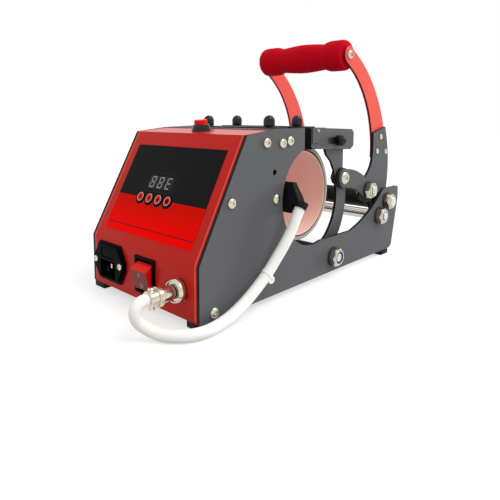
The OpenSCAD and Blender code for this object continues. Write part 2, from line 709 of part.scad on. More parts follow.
// Curved, tapering bar from the handle plate up to the grip.
module bar_outline() {
    end = grip_axis - handle_pivot;
    translate(handle_pivot) difference() {
        union() {
            difference() {
                intersection() {
                    translate([-122, 38.3]) circle(r = 149.4);
                    polygon([end, end + [0, 20], [40, 160], [40, 51], [-20, 51]]);
                }
                translate([-117.1, 60.1]) circle(r = 109.3);
            }
            translate(end) circle(r = 9.5);
        }
        translate(end) circle(r = 3.1);
        for (p = rivets) translate(p) circle(r = 2.1);
    }
}

module handle_bar_right() color("#d8483f") sheet(arm_x - bar_t, bar_t) bar_outline();

module handle_bar_left() color("#d8483f") mirror([1, 0, 0]) sheet(arm_x - bar_t, bar_t) bar_outline();

module pivot_tube() color("#2a2a2b") difference() {
    rod(handle_pivot, 11, -arm_x, 2 * arm_x);
    rod(handle_pivot, shaft_r + run_gap, -side_x, frame_w);
}

// Crank pins with their nuts, rivets of the bars and screws of the grip.
module handle_pins() color("#d2cdc2") both() {
    outer = link_x + plate_t;
    rod(crank_pin, 8, arm_x - 4, 4);
    rod(crank_pin, crank_pin_r, arm_x - 1, outer + 10 - arm_x);
    rod(crank_pin, 10, outer + gap, 1.4);
    hex(crank_pin, 17, outer + gap + 1, 7);
    for (p = rivets) {
        rod(handle_pivot + p, 2, arm_x - bar_t, bar_t + plate_t + 0.5);
        translate([arm_x + plate_t, handle_pivot[0] + p[0], handle_pivot[1] + p[1]]) rotate([0, 90, 0])
            cylinder(r1 = 3.2, r2 = 2, h = 1.4);
    }
    rod(grip_axis, 3, arm_x - bar_t, bar_t + 0.5);
    translate([arm_x, grip_axis[0], grip_axis[1]]) rotate([0, 90, 0]) cylinder(r1 = 6, r2 = 4, h = 2.6);
}

module grip_rod() color("#b9b5ab") {
    rod(grip_axis, 5, -grip_l / 2, grip_l);
    both() rod(grip_axis, 9, grip_l / 2 - grip_shoulder, grip_shoulder);
}

// Foam sleeve with a swelling at each end.
module foam_grip() {
    r = grip_d / 2;
    h = grip_l / 2 - grip_shoulder - 0.3;
    color("#b3121f") translate([0, grip_axis[0], grip_axis[1]]) rotate([0, 90, 0]) both_ends()
        rotate_extrude() polygon([[5.1, -h], [r - 2, -h], [r, 3 - h], [r + 0.25, 10 - h], [r - 0.1, 16 - h],
            [r - 1.4, 21 - h], [r - 2.5, 26 - h], [r - 1.7, 32 - h], [r - 0.6, 42 - h], [r - 0.2, 0],
            [5.1, 0]]);
}

// Handle shaft, arm shaft and the rod that stops the handle.
module shafts() color("#d9d6cf") {
    end = side_x + 9.7;
    rod(handle_pivot, shaft_r, -end, 2 * end);
    rod(arm_pivot, arm_shaft_r, -end, 2 * end);
    rod(stop_rod, shaft_r, -in_x, 2 * in_x);
    rod(stop_rod, shaft_r - 2, -end, 2 * end);
}

module shaft_bushes() color("#3a3a3b") both() for (s = [[handle_pivot, shaft_r], [arm_pivot, arm_shaft_r]])
    difference() {
        rod(s[0], 9, link_x, bush_l);
        rod(s[0], s[1] + run_gap, link_x - 1, bush_l + 2);
    }

module shaft_nuts() color("#cdc8bd") both()
    for (s = [[handle_pivot, shaft_r], [arm_pivot, arm_shaft_r], [stop_rod, shaft_r - 2]]) difference() {
        union() {
            rod(s[0], 10, side_x, 1.5);
            hex(s[0], 17, side_x + 1, 7.5);
        }
        rod(s[0], s[1] + run_gap, side_x - 1, 20);
    }

// Domed knob with a blind bore, standing on Z.
module knob() color("#18181a") difference() {
    union() {
        cylinder(d = knob_d, h = knob_h - knob_d / 2);
        translate([0, 0, knob_h - knob_d / 2]) sphere(d = knob_d);
    }
    translate([0, 0, -knob_d]) cylinder(d = 2 * knob_d, h = knob_d);
    translate([0, 0, -1]) cylinder(r = stud_r + run_gap, h = 8);
}

module knob_up(s, y) translate([s * knob_x, y, jaw_z + bracket_t + 0.3]) knob();

module knob_out(s) mirror([s < 0 ? 1 : 0, 0, 0])
    translate([link_x + plate_t + 0.3, stud_y, stud_z]) rotate([0, 90, 0]) knob();

place() side_plate_left();
place() side_plate_right();
place() front_cover();
place() base_plate();
place() rubber_feet();
place() rear_wall();
place() top_plate();
place() frame_screws();
place() control_overlay();
place() display_window();
place() control_board();
place() key(0);  // key_1
place() key(1);  // key_2
place() key(2);  // key_3
place() key(3);  // key_4
place() button_base();
place() button_cap();
place() rocker_bezel();
place() rocker();
place() power_inlet();
place() inlet_pins();
place() fuse_drawer();
place() panel_socket();
place() plug_ring();
place() lead_plug();
place() heater_lead();
place() lead_boot();
place() cable_tie();
place() heater_pad_front();
place() heater_band_front();
place() edge_strip_front();
place() heater_pad_rear();
place() heater_band_rear();
place() edge_strip_rear();
place() clamp_head();
place() head_tabs();
place() clamp_arm_left();
place() clamp_arm_right();
place() arm_tube();
place() arm_pins();
place() link_left();
place() link_right();
place() handle_plate_left();
place() handle_plate_right();
place() handle_bar_left();
place() handle_bar_right();
place() pivot_tube();
place() handle_pins();
place() grip_rod();
place() foam_grip();
place() shafts();
place() shaft_bushes();
place() shaft_nuts();
place() knob_up(-1, knob_front_y);  // knob_front_left
place() knob_up(1, knob_front_y);  // knob_front_right
place() knob_up(-1, knob_rear_y);  // knob_rear_left
place() knob_up(1, knob_rear_y);  // knob_rear_right
place() knob_out(-1);  // knob_ear_left
place() knob_out(1);  // knob_ear_right
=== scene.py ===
# %% [markdown]
# # Mug heat press
# The press was built and measured as solids first. This lesson dresses those solids:
# it sets up the camera, gives every surface its finish, models the pieces that need a
# finer shape than the solids have, and lays the heater's lead. Distances are metres.

# %% Load the solids and read their boxes
import json
import math

import bpy
from mathutils import Matrix, Vector


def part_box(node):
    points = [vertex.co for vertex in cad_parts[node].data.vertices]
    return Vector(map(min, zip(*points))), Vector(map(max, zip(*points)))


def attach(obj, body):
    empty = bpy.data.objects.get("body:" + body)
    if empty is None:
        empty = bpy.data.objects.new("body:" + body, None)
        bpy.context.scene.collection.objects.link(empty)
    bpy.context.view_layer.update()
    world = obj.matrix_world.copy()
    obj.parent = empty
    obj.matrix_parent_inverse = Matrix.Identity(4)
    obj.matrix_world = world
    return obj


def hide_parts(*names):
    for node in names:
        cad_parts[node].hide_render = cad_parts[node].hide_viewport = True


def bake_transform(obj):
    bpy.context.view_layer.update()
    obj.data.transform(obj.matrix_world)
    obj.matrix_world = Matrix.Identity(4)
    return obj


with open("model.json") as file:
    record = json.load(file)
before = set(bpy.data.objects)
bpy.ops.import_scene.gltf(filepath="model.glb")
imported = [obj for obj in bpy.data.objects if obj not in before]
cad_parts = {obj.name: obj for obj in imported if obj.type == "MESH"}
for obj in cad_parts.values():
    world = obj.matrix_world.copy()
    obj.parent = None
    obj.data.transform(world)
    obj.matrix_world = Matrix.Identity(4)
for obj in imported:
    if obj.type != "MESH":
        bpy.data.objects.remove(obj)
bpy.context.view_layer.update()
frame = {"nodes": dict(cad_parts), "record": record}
nodes = frame["nodes"]
bodies = frame["record"]["behaviour"]["bodies"]
BODY_OF = {node: body for body, names in bodies.items() for node in names}

# %% [markdown]
# The press was measured from the front of its side plates, in millimetres. The origin
# of the model is the middle of its footprint, so one function moves a measured point
# there and turns it into metres. Every place below can then be written as measured.

# %% Measured points
MIDDLE_Y = 159.8


def at(x, y, z):
    return Vector((x / 1000, (y - MIDDLE_Y) / 1000, z / 1000))


def mm(value):
    return value / 1000


print("front of the plates:", at(0, 0, 0))

# %% [markdown]
# The photograph was taken from the right of the control panel, a little above the top
# plate. Its vanishing points give the lens and the place of the camera. The picture is
# a cut-out of a larger one, so its middle isn't the middle of the lens. Turning the
# camera would tilt the upright edges, so the frame is shifted instead.

# %% Camera
YAW, PITCH = 43.99, 6.40
FOCAL_PX, IMAGE_PX, SENSOR = 482.17, 500, 36
CENTRE_PX = (234.6, 170)
camera = bpy.data.objects.new("camera", bpy.data.cameras.new("camera"))
bpy.context.collection.objects.link(camera)
camera.location = at(340.6, -234.7, 165.3)
camera.rotation_euler = (math.radians(90 - PITCH), 0, math.radians(YAW))
camera.data.sensor_width = SENSOR
camera.data.lens = FOCAL_PX / IMAGE_PX * SENSOR
camera.data.shift_x = (IMAGE_PX / 2 - CENTRE_PX[0]) / IMAGE_PX
camera.data.shift_y = (CENTRE_PX[1] - IMAGE_PX / 2) / IMAGE_PX
camera.data.clip_start = 0.01
bpy.context.scene.camera = camera
print("lens", round(camera.data.lens, 2), "mm, shift", camera.data.shift_x, camera.data.shift_y)

# %% [markdown]
# Finishes are written as the sRGB colours that the eye sees, and the shader wants
# linear light. One small function turns a hex value over, and another adds a node with
# its settings and links, so that a node tree reads as a list.

# %% Colour and node helpers
def linear(code):
    parts = [int(code[i:i + 2], 16) / 255 for i in (1, 3, 5)]
    return [c / 12.92 if c <= 0.04045 else ((c + 0.055) / 1.055) ** 2.4 for c in parts] + [1]


def add_node(tree, kind, inputs=None, **settings):
    node = tree.nodes.new(kind)
    for name, value in settings.items():
        setattr(node, name, value)
    for name, value in (inputs or {}).items():
        if isinstance(value, bpy.types.NodeSocket):
            tree.links.new(value, node.inputs[name])
        else:
            node.inputs[name].default_value = value
    return node


print("middle grey in linear light:", linear("#808080"))

# %% [markdown]
# Most surfaces on the press are a made finish with two things to see: slow patches
# where the colour drifts a little, and a fine grit that breaks up the shine. Image
# textures could show them, but noise needs no file and keeps its scale in millimetres.
# The surround is white on all sides, and at its textbook IOR a dark or red finish would
# reflect it and look milky. So the IOR is matched one by one. Metals keep the default.

# %% A finish from patches and grit
MIX_A, MIX_B, MIX_OUT = 6, 7, 2  # the colour sockets of a Mix node


def finish(name, colour, drift, patch_mm, grit_mm, grit_height_mm, rough, metallic=0.0, ior=1.25):
    material = bpy.data.materials.new(name)
    material.use_nodes = True
    tree = material.node_tree
    shader = tree.nodes["Principled BSDF"]
    place = add_node(tree, "ShaderNodeTexCoord").outputs["Object"]
    patches = add_node(tree, "ShaderNodeTexNoise", {"Vector": place, "Scale": 1000 / patch_mm, "Detail": 3})
    tint = add_node(tree, "ShaderNodeMix", data_type="RGBA")
    tint.inputs[MIX_A].default_value = linear(colour)
    tint.inputs[MIX_B].default_value = linear(drift)
    tree.links.new(patches.outputs["Fac"], tint.inputs[0])
    tree.links.new(tint.outputs[MIX_OUT], shader.inputs["Base Color"])
    grit = add_node(tree, "ShaderNodeTexNoise", {"Vector": place, "Scale": 1000 / grit_mm, "Detail": 2})
    shine = add_node(tree, "ShaderNodeMapRange", {
        "Value": grit.outputs["Fac"], "To Min": rough[0], "To Max": rough[1]})
    tree.links.new(shine.outputs["Result"], shader.inputs["Roughness"])
    bump = add_node(tree, "ShaderNodeBump", {
        "Height": grit.outputs["Fac"], "Strength": 1.0, "Distance": mm(grit_height_mm)})
    tree.links.new(bump.outputs["Normal"], shader.inputs["Normal"])
    shader.inputs["Metallic"].default_value = metallic
    if not metallic:
        shader.inputs["IOR"].default_value = ior
    return material


# %% [markdown]
# The plates are steel with a dark grey powder coat, and the cover and handle bars have
# the same coat in red. Powder leaves a fine orange peel, about half a millimetre wide,
# and a satin shine. The laser-cut edges are painted almost black, as painted shade. The
# cover is lacquered as well, which shows where its top is seen at a flat angle, so its
# shader gets a thin clear coat. The fasteners and shafts are plated steel.

# %% Powder coat and metals
# Dark grey satin, very even.
GREY_COAT = finish("grey_powder_coat", "#5a5b5d", "#5e5f61", 60, 0.6, 0.010, (0.5, 0.62))
# The grey coat on a cut edge: nearly black, as painted shade.
GREY_EDGE_SHADE = finish("painted_shade_on_grey_edge", "#121213", "#18181a", 30, 0.6, 0.008, (0.45, 0.6))
# Deep red that pales at a flat angle, through its lacquer.
RED_COAT = finish("red_powder_coat", "#c82215", "#bf1e12", 70, 0.6, 0.008, (0.3, 0.38), ior=1.15)
shader = RED_COAT.node_tree.nodes["Principled BSDF"]
shader.inputs["Coat Weight"].default_value = 0.35
shader.inputs["Coat Roughness"].default_value = 0.12
shader.inputs["Coat IOR"].default_value = 1.2
# The bends of the cover: a painted highlight, a brighter red line along the edge.
RED_ROLL_HIGHLIGHT = finish("painted_highlight_red_roll", "#fa5a45", "#f04f3b", 40, 0.6, 0.006, (0.3, 0.38))
# The handle bars: a light, slightly orange red with little shine.
CORAL_COAT = finish("coral_red_enamel", "#ee6459", "#e85e54", 50, 0.8, 0.006, (0.5, 0.6), ior=1.15)
# The cut edges of the bars: dark red, as painted shade.
CORAL_EDGE_SHADE = finish("painted_shade_on_red_edge", "#8a1310", "#7a100d", 30, 0.6, 0.006, (0.45, 0.6))
# Tubes and bushes: black satin.
BLACK_COAT = finish("black_powder_coat", "#141415", "#1a1a1b", 40, 0.6, 0.010, (0.4, 0.52))
# Screws and nuts: warm and bright, with darker flecks, painted reflections that break up the glint.
NICKEL = finish("bright_nickel_plate", "#eae4d6", "#b3a892", 5, 0.5, 0.003, (0.1, 0.2), metallic=1.0)
# Shafts: smooth, with long clear reflections.
CHROME = finish("polished_chrome", "#dddad4", "#cfcbc3", 30, 0.8, 0.001, (0.06, 0.14), metallic=1.0)
# Heater brackets and washers: a brownish black with a dull shine.
BRACKET = finish("blackened_steel", "#2a2825", "#33302c", 25, 0.5, 0.004, (0.4, 0.55))
print("coats and metals:", len(bpy.data.materials))

# %% [markdown]
# The small parts are moulded: nylon, phenolic and polycarbonate differ in depth of
# colour and in gloss. The rubber, the foam of the grip, the silicone of the heater and
# the woven sleeve of the lead are soft and nearly matt. The real grain of plastic, foam
# and printed film is too fine to show, so it is drawn coarser, about half a millimetre
# to a millimetre wide.

# %% Plastic, rubber and fabric
# Inlet, fuse drawer and switch frame: deep black, half matt.
BLACK_NYLON = finish("black_nylon", "#0b0c0c", "#101111", 20, 0.5, 0.004, (0.35, 0.45), ior=1.08)
# Knobs: black and glossy, with small sharp highlights.
GLOSS_BLACK = finish("black_phenolic", "#0e0e0f", "#131314", 20, 0.8, 0.002, (0.1, 0.18), ior=1.4)
# Keys, button and rocker: clear bright red.
RED_PLASTIC = finish("red_polycarbonate", "#ea1d13", "#df1a10", 15, 0.6, 0.003, (0.22, 0.32), ior=1.15)
# The front of the rocker: a dull brownish red.
DULL_RED = finish("dull_red_polycarbonate", "#86343a", "#742d31", 6, 0.6, 0.004, (0.35, 0.5))
# Feet, boot and edge strips: flat black.
RUBBER = finish("black_rubber", "#0f0f10", "#151516", 15, 0.5, 0.012, (0.5, 0.65))
# Heater pad: pale pink and matt, and deeper in its own shade.
SILICONE = finish("pink_silicone", "#fbd3c8", "#f5c9bd", 40, 0.9, 0.02, (0.5, 0.62))
# The ends of the pad: a light peach line, a painted highlight.
PAD_RIM_HIGHLIGHT = finish("painted_highlight_pad_rim", "#ffdcc4", "#fad2b8", 20, 0.8, 0.01, (0.4, 0.5))
# Heater jacket: pale warm grey.
JACKET = finish("grey_silicone_jacket", "#b9b9b0", "#adada4", 25, 0.8, 0.02, (0.5, 0.65))
# Grip: strong red with a soft grain.
FOAM = finish("red_foam_rubber", "#cf0a20", "#bf081c", 30, 0.9, 0.06, (0.6, 0.75), ior=1.1)
# Lead: almost white cloth.
SLEEVE = finish("white_glass_sleeve", "#fdfcf7", "#f9f7f0", 30, 0.8, 0.05, (0.6, 0.75))
# Lock rings in the nuts: dark blue, and a pale grey.
NYLON_BLUE = finish("blue_nylon", "#10267f", "#0c1f6c", 5, 0.4, 0.004, (0.3, 0.45))
NYLON_PALE = finish("pale_nylon", "#c9cbd0", "#bcbfc6", 5, 0.4, 0.004, (0.3, 0.45))
# Control board inside the box: the usual green.
BOARD = finish("green_circuit_board", "#2f6b3c", "#285e34", 20, 0.6, 0.01, (0.3, 0.45))
print("plastics and fabrics too:", len(bpy.data.materials))

# %% [markdown]
# The overlay is a printed film, smoother than the coat under it. Its red deepens from
# the bottom edge upward. A gradient texture could do that, but the height of the point
# is already known, so here it drives the mix instead of the noise.

# %% Printed films
# Signal red at the foot of the overlay, a deeper red above.
FILM_RED = finish("red_printed_film", "#ff0402", "#d81204", 60, 0.5, 0.002, (0.32, 0.42), ior=1.06)
# The black field, the line and the signs: soft black.
FILM_BLACK = finish("black_printed_film", "#161617", "#1a1a1b", 60, 0.5, 0.002, (0.3, 0.4), ior=1.1)
# The outline of the display: dark red, barely seen.
FILM_DIM = finish("dark_red_print", "#3a191b", "#301517", 20, 0.5, 0.002, (0.35, 0.45), ior=1.15)
# The rings on the keys and the rocker's marks: pale pink.
FILM_PALE = finish("pale_key_ring", "#d8aaa6", "#c99a96", 5, 0.4, 0.002, (0.35, 0.45), ior=1.15)
# Display strokes that show, and strokes that are off.
SEGMENT = finish("pale_display_segment", "#99a199", "#8a9289", 5, 0.4, 0.001, (0.3, 0.4), ior=1.15)
SEGMENT_DIM = finish("dim_display_segment", "#2c302d", "#272b28", 5, 0.4, 0.001, (0.3, 0.4), ior=1.15)
# The window over the display: dark and glossy.
WINDOW = finish("smoked_window", "#161918", "#131515", 30, 0.6, 0.001, (0.12, 0.2), ior=1.2)
tree = FILM_RED.node_tree
place = tree.nodes["Texture Coordinate"].outputs["Object"]
height = add_node(tree, "ShaderNodeSeparateXYZ", {"Vector": place})
deepening = add_node(tree, "ShaderNodeMapRange", {
    "Value": height.outputs["Z"], "From Min": mm(64), "From Max": mm(86)})
tree.links.new(deepening.outputs["Result"], tree.nodes["Mix"].inputs[0])
print("finishes:", len(bpy.data.materials))

# %% [markdown]
# Every solid is one piece of one material, so the finishes are handed out from a list
# of names. The copies that are made below take their finish from their solid. The dark
# of the cut edges, which is painted shade, and the prints are painted on afterwards.

# %% Give each solid its finish
FINISHES = {
    GREY_COAT: ["side_plate_left", "side_plate_right", "base_plate", "rear_wall", "top_plate",
                "clamp_head", "head_tabs", "clamp_arm_left", "clamp_arm_right", "link_left",
                "link_right", "handle_plate_left", "handle_plate_right"],
    RED_COAT: ["front_cover"],
    CORAL_COAT: ["handle_bar_left", "handle_bar_right"],
    BLACK_COAT: ["arm_tube", "pivot_tube", "shaft_bushes"],
    GLOSS_BLACK: ["button_base", "knob_front_left", "knob_front_right", "knob_rear_left",
                  "knob_rear_right", "knob_ear_left", "knob_ear_right"],
    NICKEL: ["frame_screws", "arm_pins", "handle_pins", "shaft_nuts", "grip_rod", "inlet_pins",
             "plug_ring", "panel_socket", "lead_plug"],
    CHROME: ["shafts"],
    BRACKET: ["heater_band_front", "heater_band_rear"],
    BLACK_NYLON: ["power_inlet", "fuse_drawer", "rocker_bezel"],
    RED_PLASTIC: ["key_1", "key_2", "key_3", "key_4", "button_cap", "rocker"],
    RUBBER: ["rubber_feet", "lead_boot", "edge_strip_front", "edge_strip_rear"],
    SILICONE: ["heater_pad_front", "heater_pad_rear"],
    FOAM: ["foam_grip"],
    SLEEVE: ["heater_lead", "cable_tie"],
    BOARD: ["control_board"],
    FILM_RED: ["control_overlay"],
    WINDOW: ["display_window"],
}
for material, names in FINISHES.items():
    for name in names:
        nodes[name].data.materials.clear()
        nodes[name].data.materials.append(material)
print("solids with a finish:", sum(len(names) for names in FINISHES.values()))

# %% [markdown]
# A few working habits, each a short function: select one object, enter edit mode with
# everything selected, coat a piece with one material, settle it on the body of the solid
# that it belongs to, and paint the faces that pass a test. Operators act on whatever is
# selected, so the functions that call one deselect first.

# %% Working helpers
SMOOTH_UNDER = math.radians(35)


def only(obj):
    bpy.ops.object.select_all(action="DESELECT")
    obj.select_set(True)
    bpy.context.view_layer.objects.active = obj


def edit(obj):
    only(obj)
    bpy.ops.object.mode_set(mode="EDIT")
    bpy.ops.mesh.select_all(action="SELECT")


def coat(obj, material):
    obj.data.materials.clear()
    obj.data.materials.append(material)
    only(obj)
    bpy.ops.object.shade_smooth_by_angle(angle=SMOOTH_UNDER)
    return obj


def settle(obj, node):
    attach(obj, BODY_OF[node])
    return obj


def paint(obj, material, test):
    obj.data.materials.append(material)
    for face in obj.data.polygons:
        if test(face):
            face.material_index = len(obj.data.materials) - 1
    return obj


# %% [markdown]
# Sheet metal and moulded plastic never have knife edges: a cut edge is broken and a
# mould has a small radius, and that is where the light catches. The solids have sharp
# edges. Beveling them by hand would mean picking every edge, so a copy of each shape
# that shows is merged, its flat faces are joined, and the Bevel modifier rounds what is
# sharper than an angle. Weighted normals keep the wide faces flat. The copy then stands
# for the solid.

# %% Rounded copies of the solids
SHARP_OVER, FLAT_UNDER, SAME_POINT = math.radians(40), math.radians(0.4), 1e-6


def eased(obj, radius_mm, segments):
    only(obj)
    bevel = obj.modifiers.new("edge", "BEVEL")
    bevel.width, bevel.segments = mm(radius_mm), segments
    bevel.limit_method, bevel.angle_limit = "ANGLE", SHARP_OVER
    bpy.ops.object.modifier_apply(modifier="edge")
    return obj


def rounded(node, radius_mm, segments=2):
    obj = bpy.data.objects.new(node + "_rounded", nodes[node].data.copy())
    bpy.context.collection.objects.link(obj)
    edit(obj)
    bpy.ops.mesh.remove_doubles(threshold=SAME_POINT)
    bpy.ops.mesh.dissolve_limited(angle_limit=FLAT_UNDER)
    bpy.ops.object.mode_set(mode="OBJECT")
    eased(obj, radius_mm, segments)
    settle(coat(obj, nodes[node].data.materials[0]), node)
    obj.modifiers.new("normals", "WEIGHTED_NORMAL").keep_sharp = True
    bpy.ops.object.modifier_apply(modifier="normals")
    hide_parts(node)
    return obj


EDGE_RADII = {
    0.3: ["top_plate", "head_tabs"],
    0.6: ["fuse_drawer", "rocker_bezel", "edge_strip_front", "edge_strip_rear"],
    1.2: ["front_cover"],
    0.8: ["power_inlet", "button_base", "button_cap"],
}
for radius, names in EDGE_RADII.items():
    for name in names:
        rounded(name, radius)
boot = rounded("lead_boot", 1.6, segments=4)
print("rounded copies:", sum(len(names) for names in EDGE_RADII.values()) + 1)

# %% [markdown]
# The flat plates are rounded the same way, and their cut edges are painted dark, as
# painted shade. They stand upright, so a face that doesn't look left or right is a cut
# edge, and no face has to be picked by hand. The head also has a top and a front that
# lie across the press. They look as dark as its edges, so the same painted shade does
# for them.

# %% Plates with dark edges
def is_shaded_edge(face):
    return abs(face.normal.x) < 0.6


PLATES = ["side_plate_left", "side_plate_right", "clamp_head", "clamp_arm_left", "clamp_arm_right",
          "link_left", "link_right", "handle_plate_left", "handle_plate_right"]
for name in PLATES:
    paint(rounded(name, 0.3), GREY_EDGE_SHADE, is_shaded_edge)
# The bars' edges get dark red, as painted shade.
bars = {
    -1: paint(rounded("handle_bar_left", 0.4), CORAL_EDGE_SHADE, is_shaded_edge),
    1: paint(rounded("handle_bar_right", 0.4), CORAL_EDGE_SHADE, is_shaded_edge),
}
print("plates and bars:", len(PLATES) + len(bars))

# %% [markdown]
# The rocker stands out at its upper end. Its long front face looks dull, while the end
# and the sides are bright red. A second material on the faces that look forward shows
# that, and keeps the rocker one piece.

# %% Rocker
rocker = paint(rounded("rocker", 0.7, segments=3), DULL_RED, lambda face: face.normal.y < -0.9)
print("rocker faces:", len(rocker.data.polygons))

# %% [markdown]
# Many pieces are round, like parts from a lathe, and they are turned here too: a plane
# is merged to one point, the point is pulled along a profile of radii and heights, and
# the profile is spun about Z. A cylinder could be scaled ring by ring instead, but a
# profile shows the shape in one line.

# %% Turning
def traced(name, points):
    bpy.ops.object.select_all(action="DESELECT")
    bpy.ops.mesh.primitive_plane_add(size=mm(1))
    obj = bpy.context.object
    obj.name = name
    bpy.ops.object.mode_set(mode="EDIT")
    bpy.ops.mesh.merge(type="CENTER")
    bpy.ops.transform.translate(value=points[0])
    for here, there in zip(points, points[1:]):
        step = [after - before for before, after in zip(here, there)]
        bpy.ops.mesh.extrude_region_move(TRANSFORM_OT_translate={"value": step})
    bpy.ops.mesh.select_all(action="SELECT")
    return obj


def turned(name, profile, steps=32):
    obj = traced(name, [(mm(radius), 0, mm(z)) for radius, z in profile])
    bpy.ops.mesh.spin(steps=steps, angle=math.tau, center=(0, 0, 0), axis=(0, 0, 1))
    bpy.ops.mesh.select_all(action="SELECT")
    bpy.ops.mesh.remove_doubles(threshold=SAME_POINT)
    bpy.ops.mesh.normals_make_consistent(inside=False)
    bpy.ops.object.mode_set(mode="OBJECT")
    return obj


# %% [markdown]
# A turned shape lies along Z at the origin. Its mesh is moved to its place and the
# object stays at the origin, as the solids do. Most axes on the press run from left to
# right, so a second function stands a shape on either side.

# %% Placing
def stand(obj, place, axis=(0, 0, 1)):
    turn = Vector((0, 0, 1)).rotation_difference(Vector(axis)).to_matrix().to_4x4()
    obj.data.transform(Matrix.Translation(place) @ turn)
    return obj


def on_side(obj, side, spot, x=0):
    return stand(obj, at(side * x, *spot), (side, 0, 0))


# %% [markdown]
# The grip is a sleeve of foam rubber with a collar at each end, a narrow neck beside
# each collar, and a barrel that swells in the middle. A cloth simulation would only
# round it off, and these necks are moulded in, so the sleeve is turned. One half of the
# profile is listed, and the other is its mirror image.

# %% Foam grip
GRIP_AXIS = (235.5, 231.2)
GRIP_HALF = [
    (5.1, -57.1), (13.2, -57.1), (15.0, -56.6), (16.1, -55.2), (16.6, -53), (16.75, -49), (16.75, -41),
    (16.6, -38), (16.1, -35.2), (15.2, -32.8), (14.5, -30.8), (14.2, -29), (14.3, -27), (14.7, -23.5),
    (15.2, -18.5), (15.7, -12.5), (16.1, -6), (16.25, 0),
]
profile = GRIP_HALF + [(r, -x) for r, x in reversed(GRIP_HALF[:-1])] + GRIP_HALF[:1]
grip = on_side(turned("foam_grip_sleeve", profile, 64), 1, GRIP_AXIS)
settle(coat(grip, FOAM), "foam_grip")
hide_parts("foam_grip")
print("grip faces:", len(grip.data.polygons))

# %% [markdown]
# What repeats is modelled once and copied, each copy with a mesh of its own. Some
# shapes are finished by drawing a few of their points in toward Z. Everything is
# deselected in edit mode before those points are picked, because an edge that is still
# selected would bring its points along.

# %% Copying and drawing in
def another(obj, name):
    twin = bpy.data.objects.new(name, obj.data.copy())
    bpy.context.collection.objects.link(twin)
    return twin


def draw_in(obj, factor, test):
    edit(obj)
    bpy.ops.mesh.select_all(action="DESELECT")
    bpy.ops.object.mode_set(mode="OBJECT")
    for vertex in obj.data.vertices:
        vertex.select = test(vertex.co)
    bpy.ops.object.mode_set(mode="EDIT")
    bpy.ops.transform.resize(value=(factor, factor, 1), center_override=(0, 0, 0))
    bpy.ops.object.mode_set(mode="OBJECT")


def column_of(point, columns):
    return round(math.atan2(point.y, point.x) / math.tau * columns)


# %% [markdown]
# The knobs are small domes with flutes for the fingers. Cutting each flute would leave
# ragged edges on a dome, so the dome is turned once, with its bore, and every second
# pair of columns on its side is drawn in. Six copies stand where the solids are.

# %% Dome knobs
KNOB_R, KNOB_COLUMNS = 5.5, 48
turns = [math.radians(degrees) for degrees in range(0, 91, 10)]
dome = [(KNOB_R * math.cos(turn), KNOB_R + KNOB_R * math.sin(turn)) for turn in turns]
bore_and_foot = [(0, 7), (2.55, 7), (2.55, 0), (5, 0), (KNOB_R, 0.6), (KNOB_R, 2)]
knob = turned("dome_knob", bore_and_foot + dome, KNOB_COLUMNS)
draw_in(knob, 0.92, lambda point: (
    column_of(point, KNOB_COLUMNS) % 4 < 2 and point.xy.length > mm(4.2) and point.z > mm(0.3)))
knob_places = ("front_left", "front_right", "rear_left", "rear_right", "ear_left", "ear_right")
for place in knob_places:
    node = "knob_" + place
    low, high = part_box(node)
    middle = (Vector(low) + Vector(high)) / 2
    piece = another(knob, "fluted_" + node)
    if place.startswith("ear"):
        side = 1 if middle.x > 0 else -1
        stand(piece, (low[0] if side > 0 else high[0], middle.y, middle.z), (side, 0, 0))
    else:
        stand(piece, (middle.x, middle.y, low[2]))
    settle(coat(piece, GLOSS_BLACK), node)
    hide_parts(node)
bpy.data.objects.remove(knob)
print("knobs:", len(knob_places))

# %% [markdown]
# Hexagons start as prisms and flat rings as profiles of four corners. One shape cuts
# another with the Boolean modifier, which keeps flat faces flat. Joined pieces become
# one object, in which each keeps its material.

# %% Prisms, rings, cutting and joining
def prism(sides, radius, low, high):
    bpy.ops.object.select_all(action="DESELECT")
    bpy.ops.mesh.primitive_cylinder_add(
        vertices=sides, radius=mm(radius), depth=mm(high - low), location=(0, 0, mm((low + high) / 2)))
    bpy.ops.object.transform_apply(location=True)
    return bpy.context.object


def hexagon(flats, low, high):
    return prism(6, flats / 2 / math.cos(math.pi / 6), low, high)


def flat_ring(name, inner, outer, low, high, steps=32):
    return turned(name, [(inner, low), (outer, low), (outer, high), (inner, high), (inner, low)], steps)


def cut(obj, tool, operation="DIFFERENCE"):
    only(obj)
    boolean = obj.modifiers.new("cut", "BOOLEAN")
    boolean.object, boolean.operation, boolean.solver = tool, operation, "EXACT"
    bpy.ops.object.modifier_apply(modifier="cut")
    bpy.data.objects.remove(tool)
    return obj


def joined(name, pieces):
    bpy.ops.object.select_all(action="DESELECT")
    for piece in pieces:
        piece.select_set(True)
    bpy.context.view_layer.objects.active = pieces[0]
    bpy.ops.object.join()
    pieces[0].name = name
    return pieces[0]


# %% [markdown]
# The shafts end in lock nuts. A hexagon is cut by a turned barrel for its chamfers, a
# turned collar sits on it, a ring of nylon lies in the collar, and a dark washer lies
# under it. The four are joined, and each keeps its own material, so a nut is made once
# for each colour of nylon and copied. It is made along Z and stood on X.

# %% Lock nuts
def lock_nut(nylon):
    washer = turned("washer", [(5, 0), (9.8, 0), (10, 0.2), (10, 1.2), (9.7, 1.5), (5, 1.5), (5, 0)], 48)
    nut = hexagon(17, 1.5, 7)
    chamfers = [(0, 1.5), (8.9, 1.5), (9.9, 2.1), (9.9, 6.2), (8.4, 7), (0, 7)]
    cut(nut, turned("barrel", chamfers, 48), "INTERSECT")
    collar = turned("collar", [
        (6.4, 6.9), (7.9, 6.9), (7.9, 7.7), (7.5, 8.3), (6.8, 8.5), (6.4, 8.2), (6.4, 6.9)])
    ring = flat_ring("ring", 4.6, 6.4, 7, 8)
    pieces = [coat(nut, NICKEL), coat(collar, NICKEL), coat(washer, BRACKET), coat(ring, nylon)]
    return joined("lock_nut", pieces)


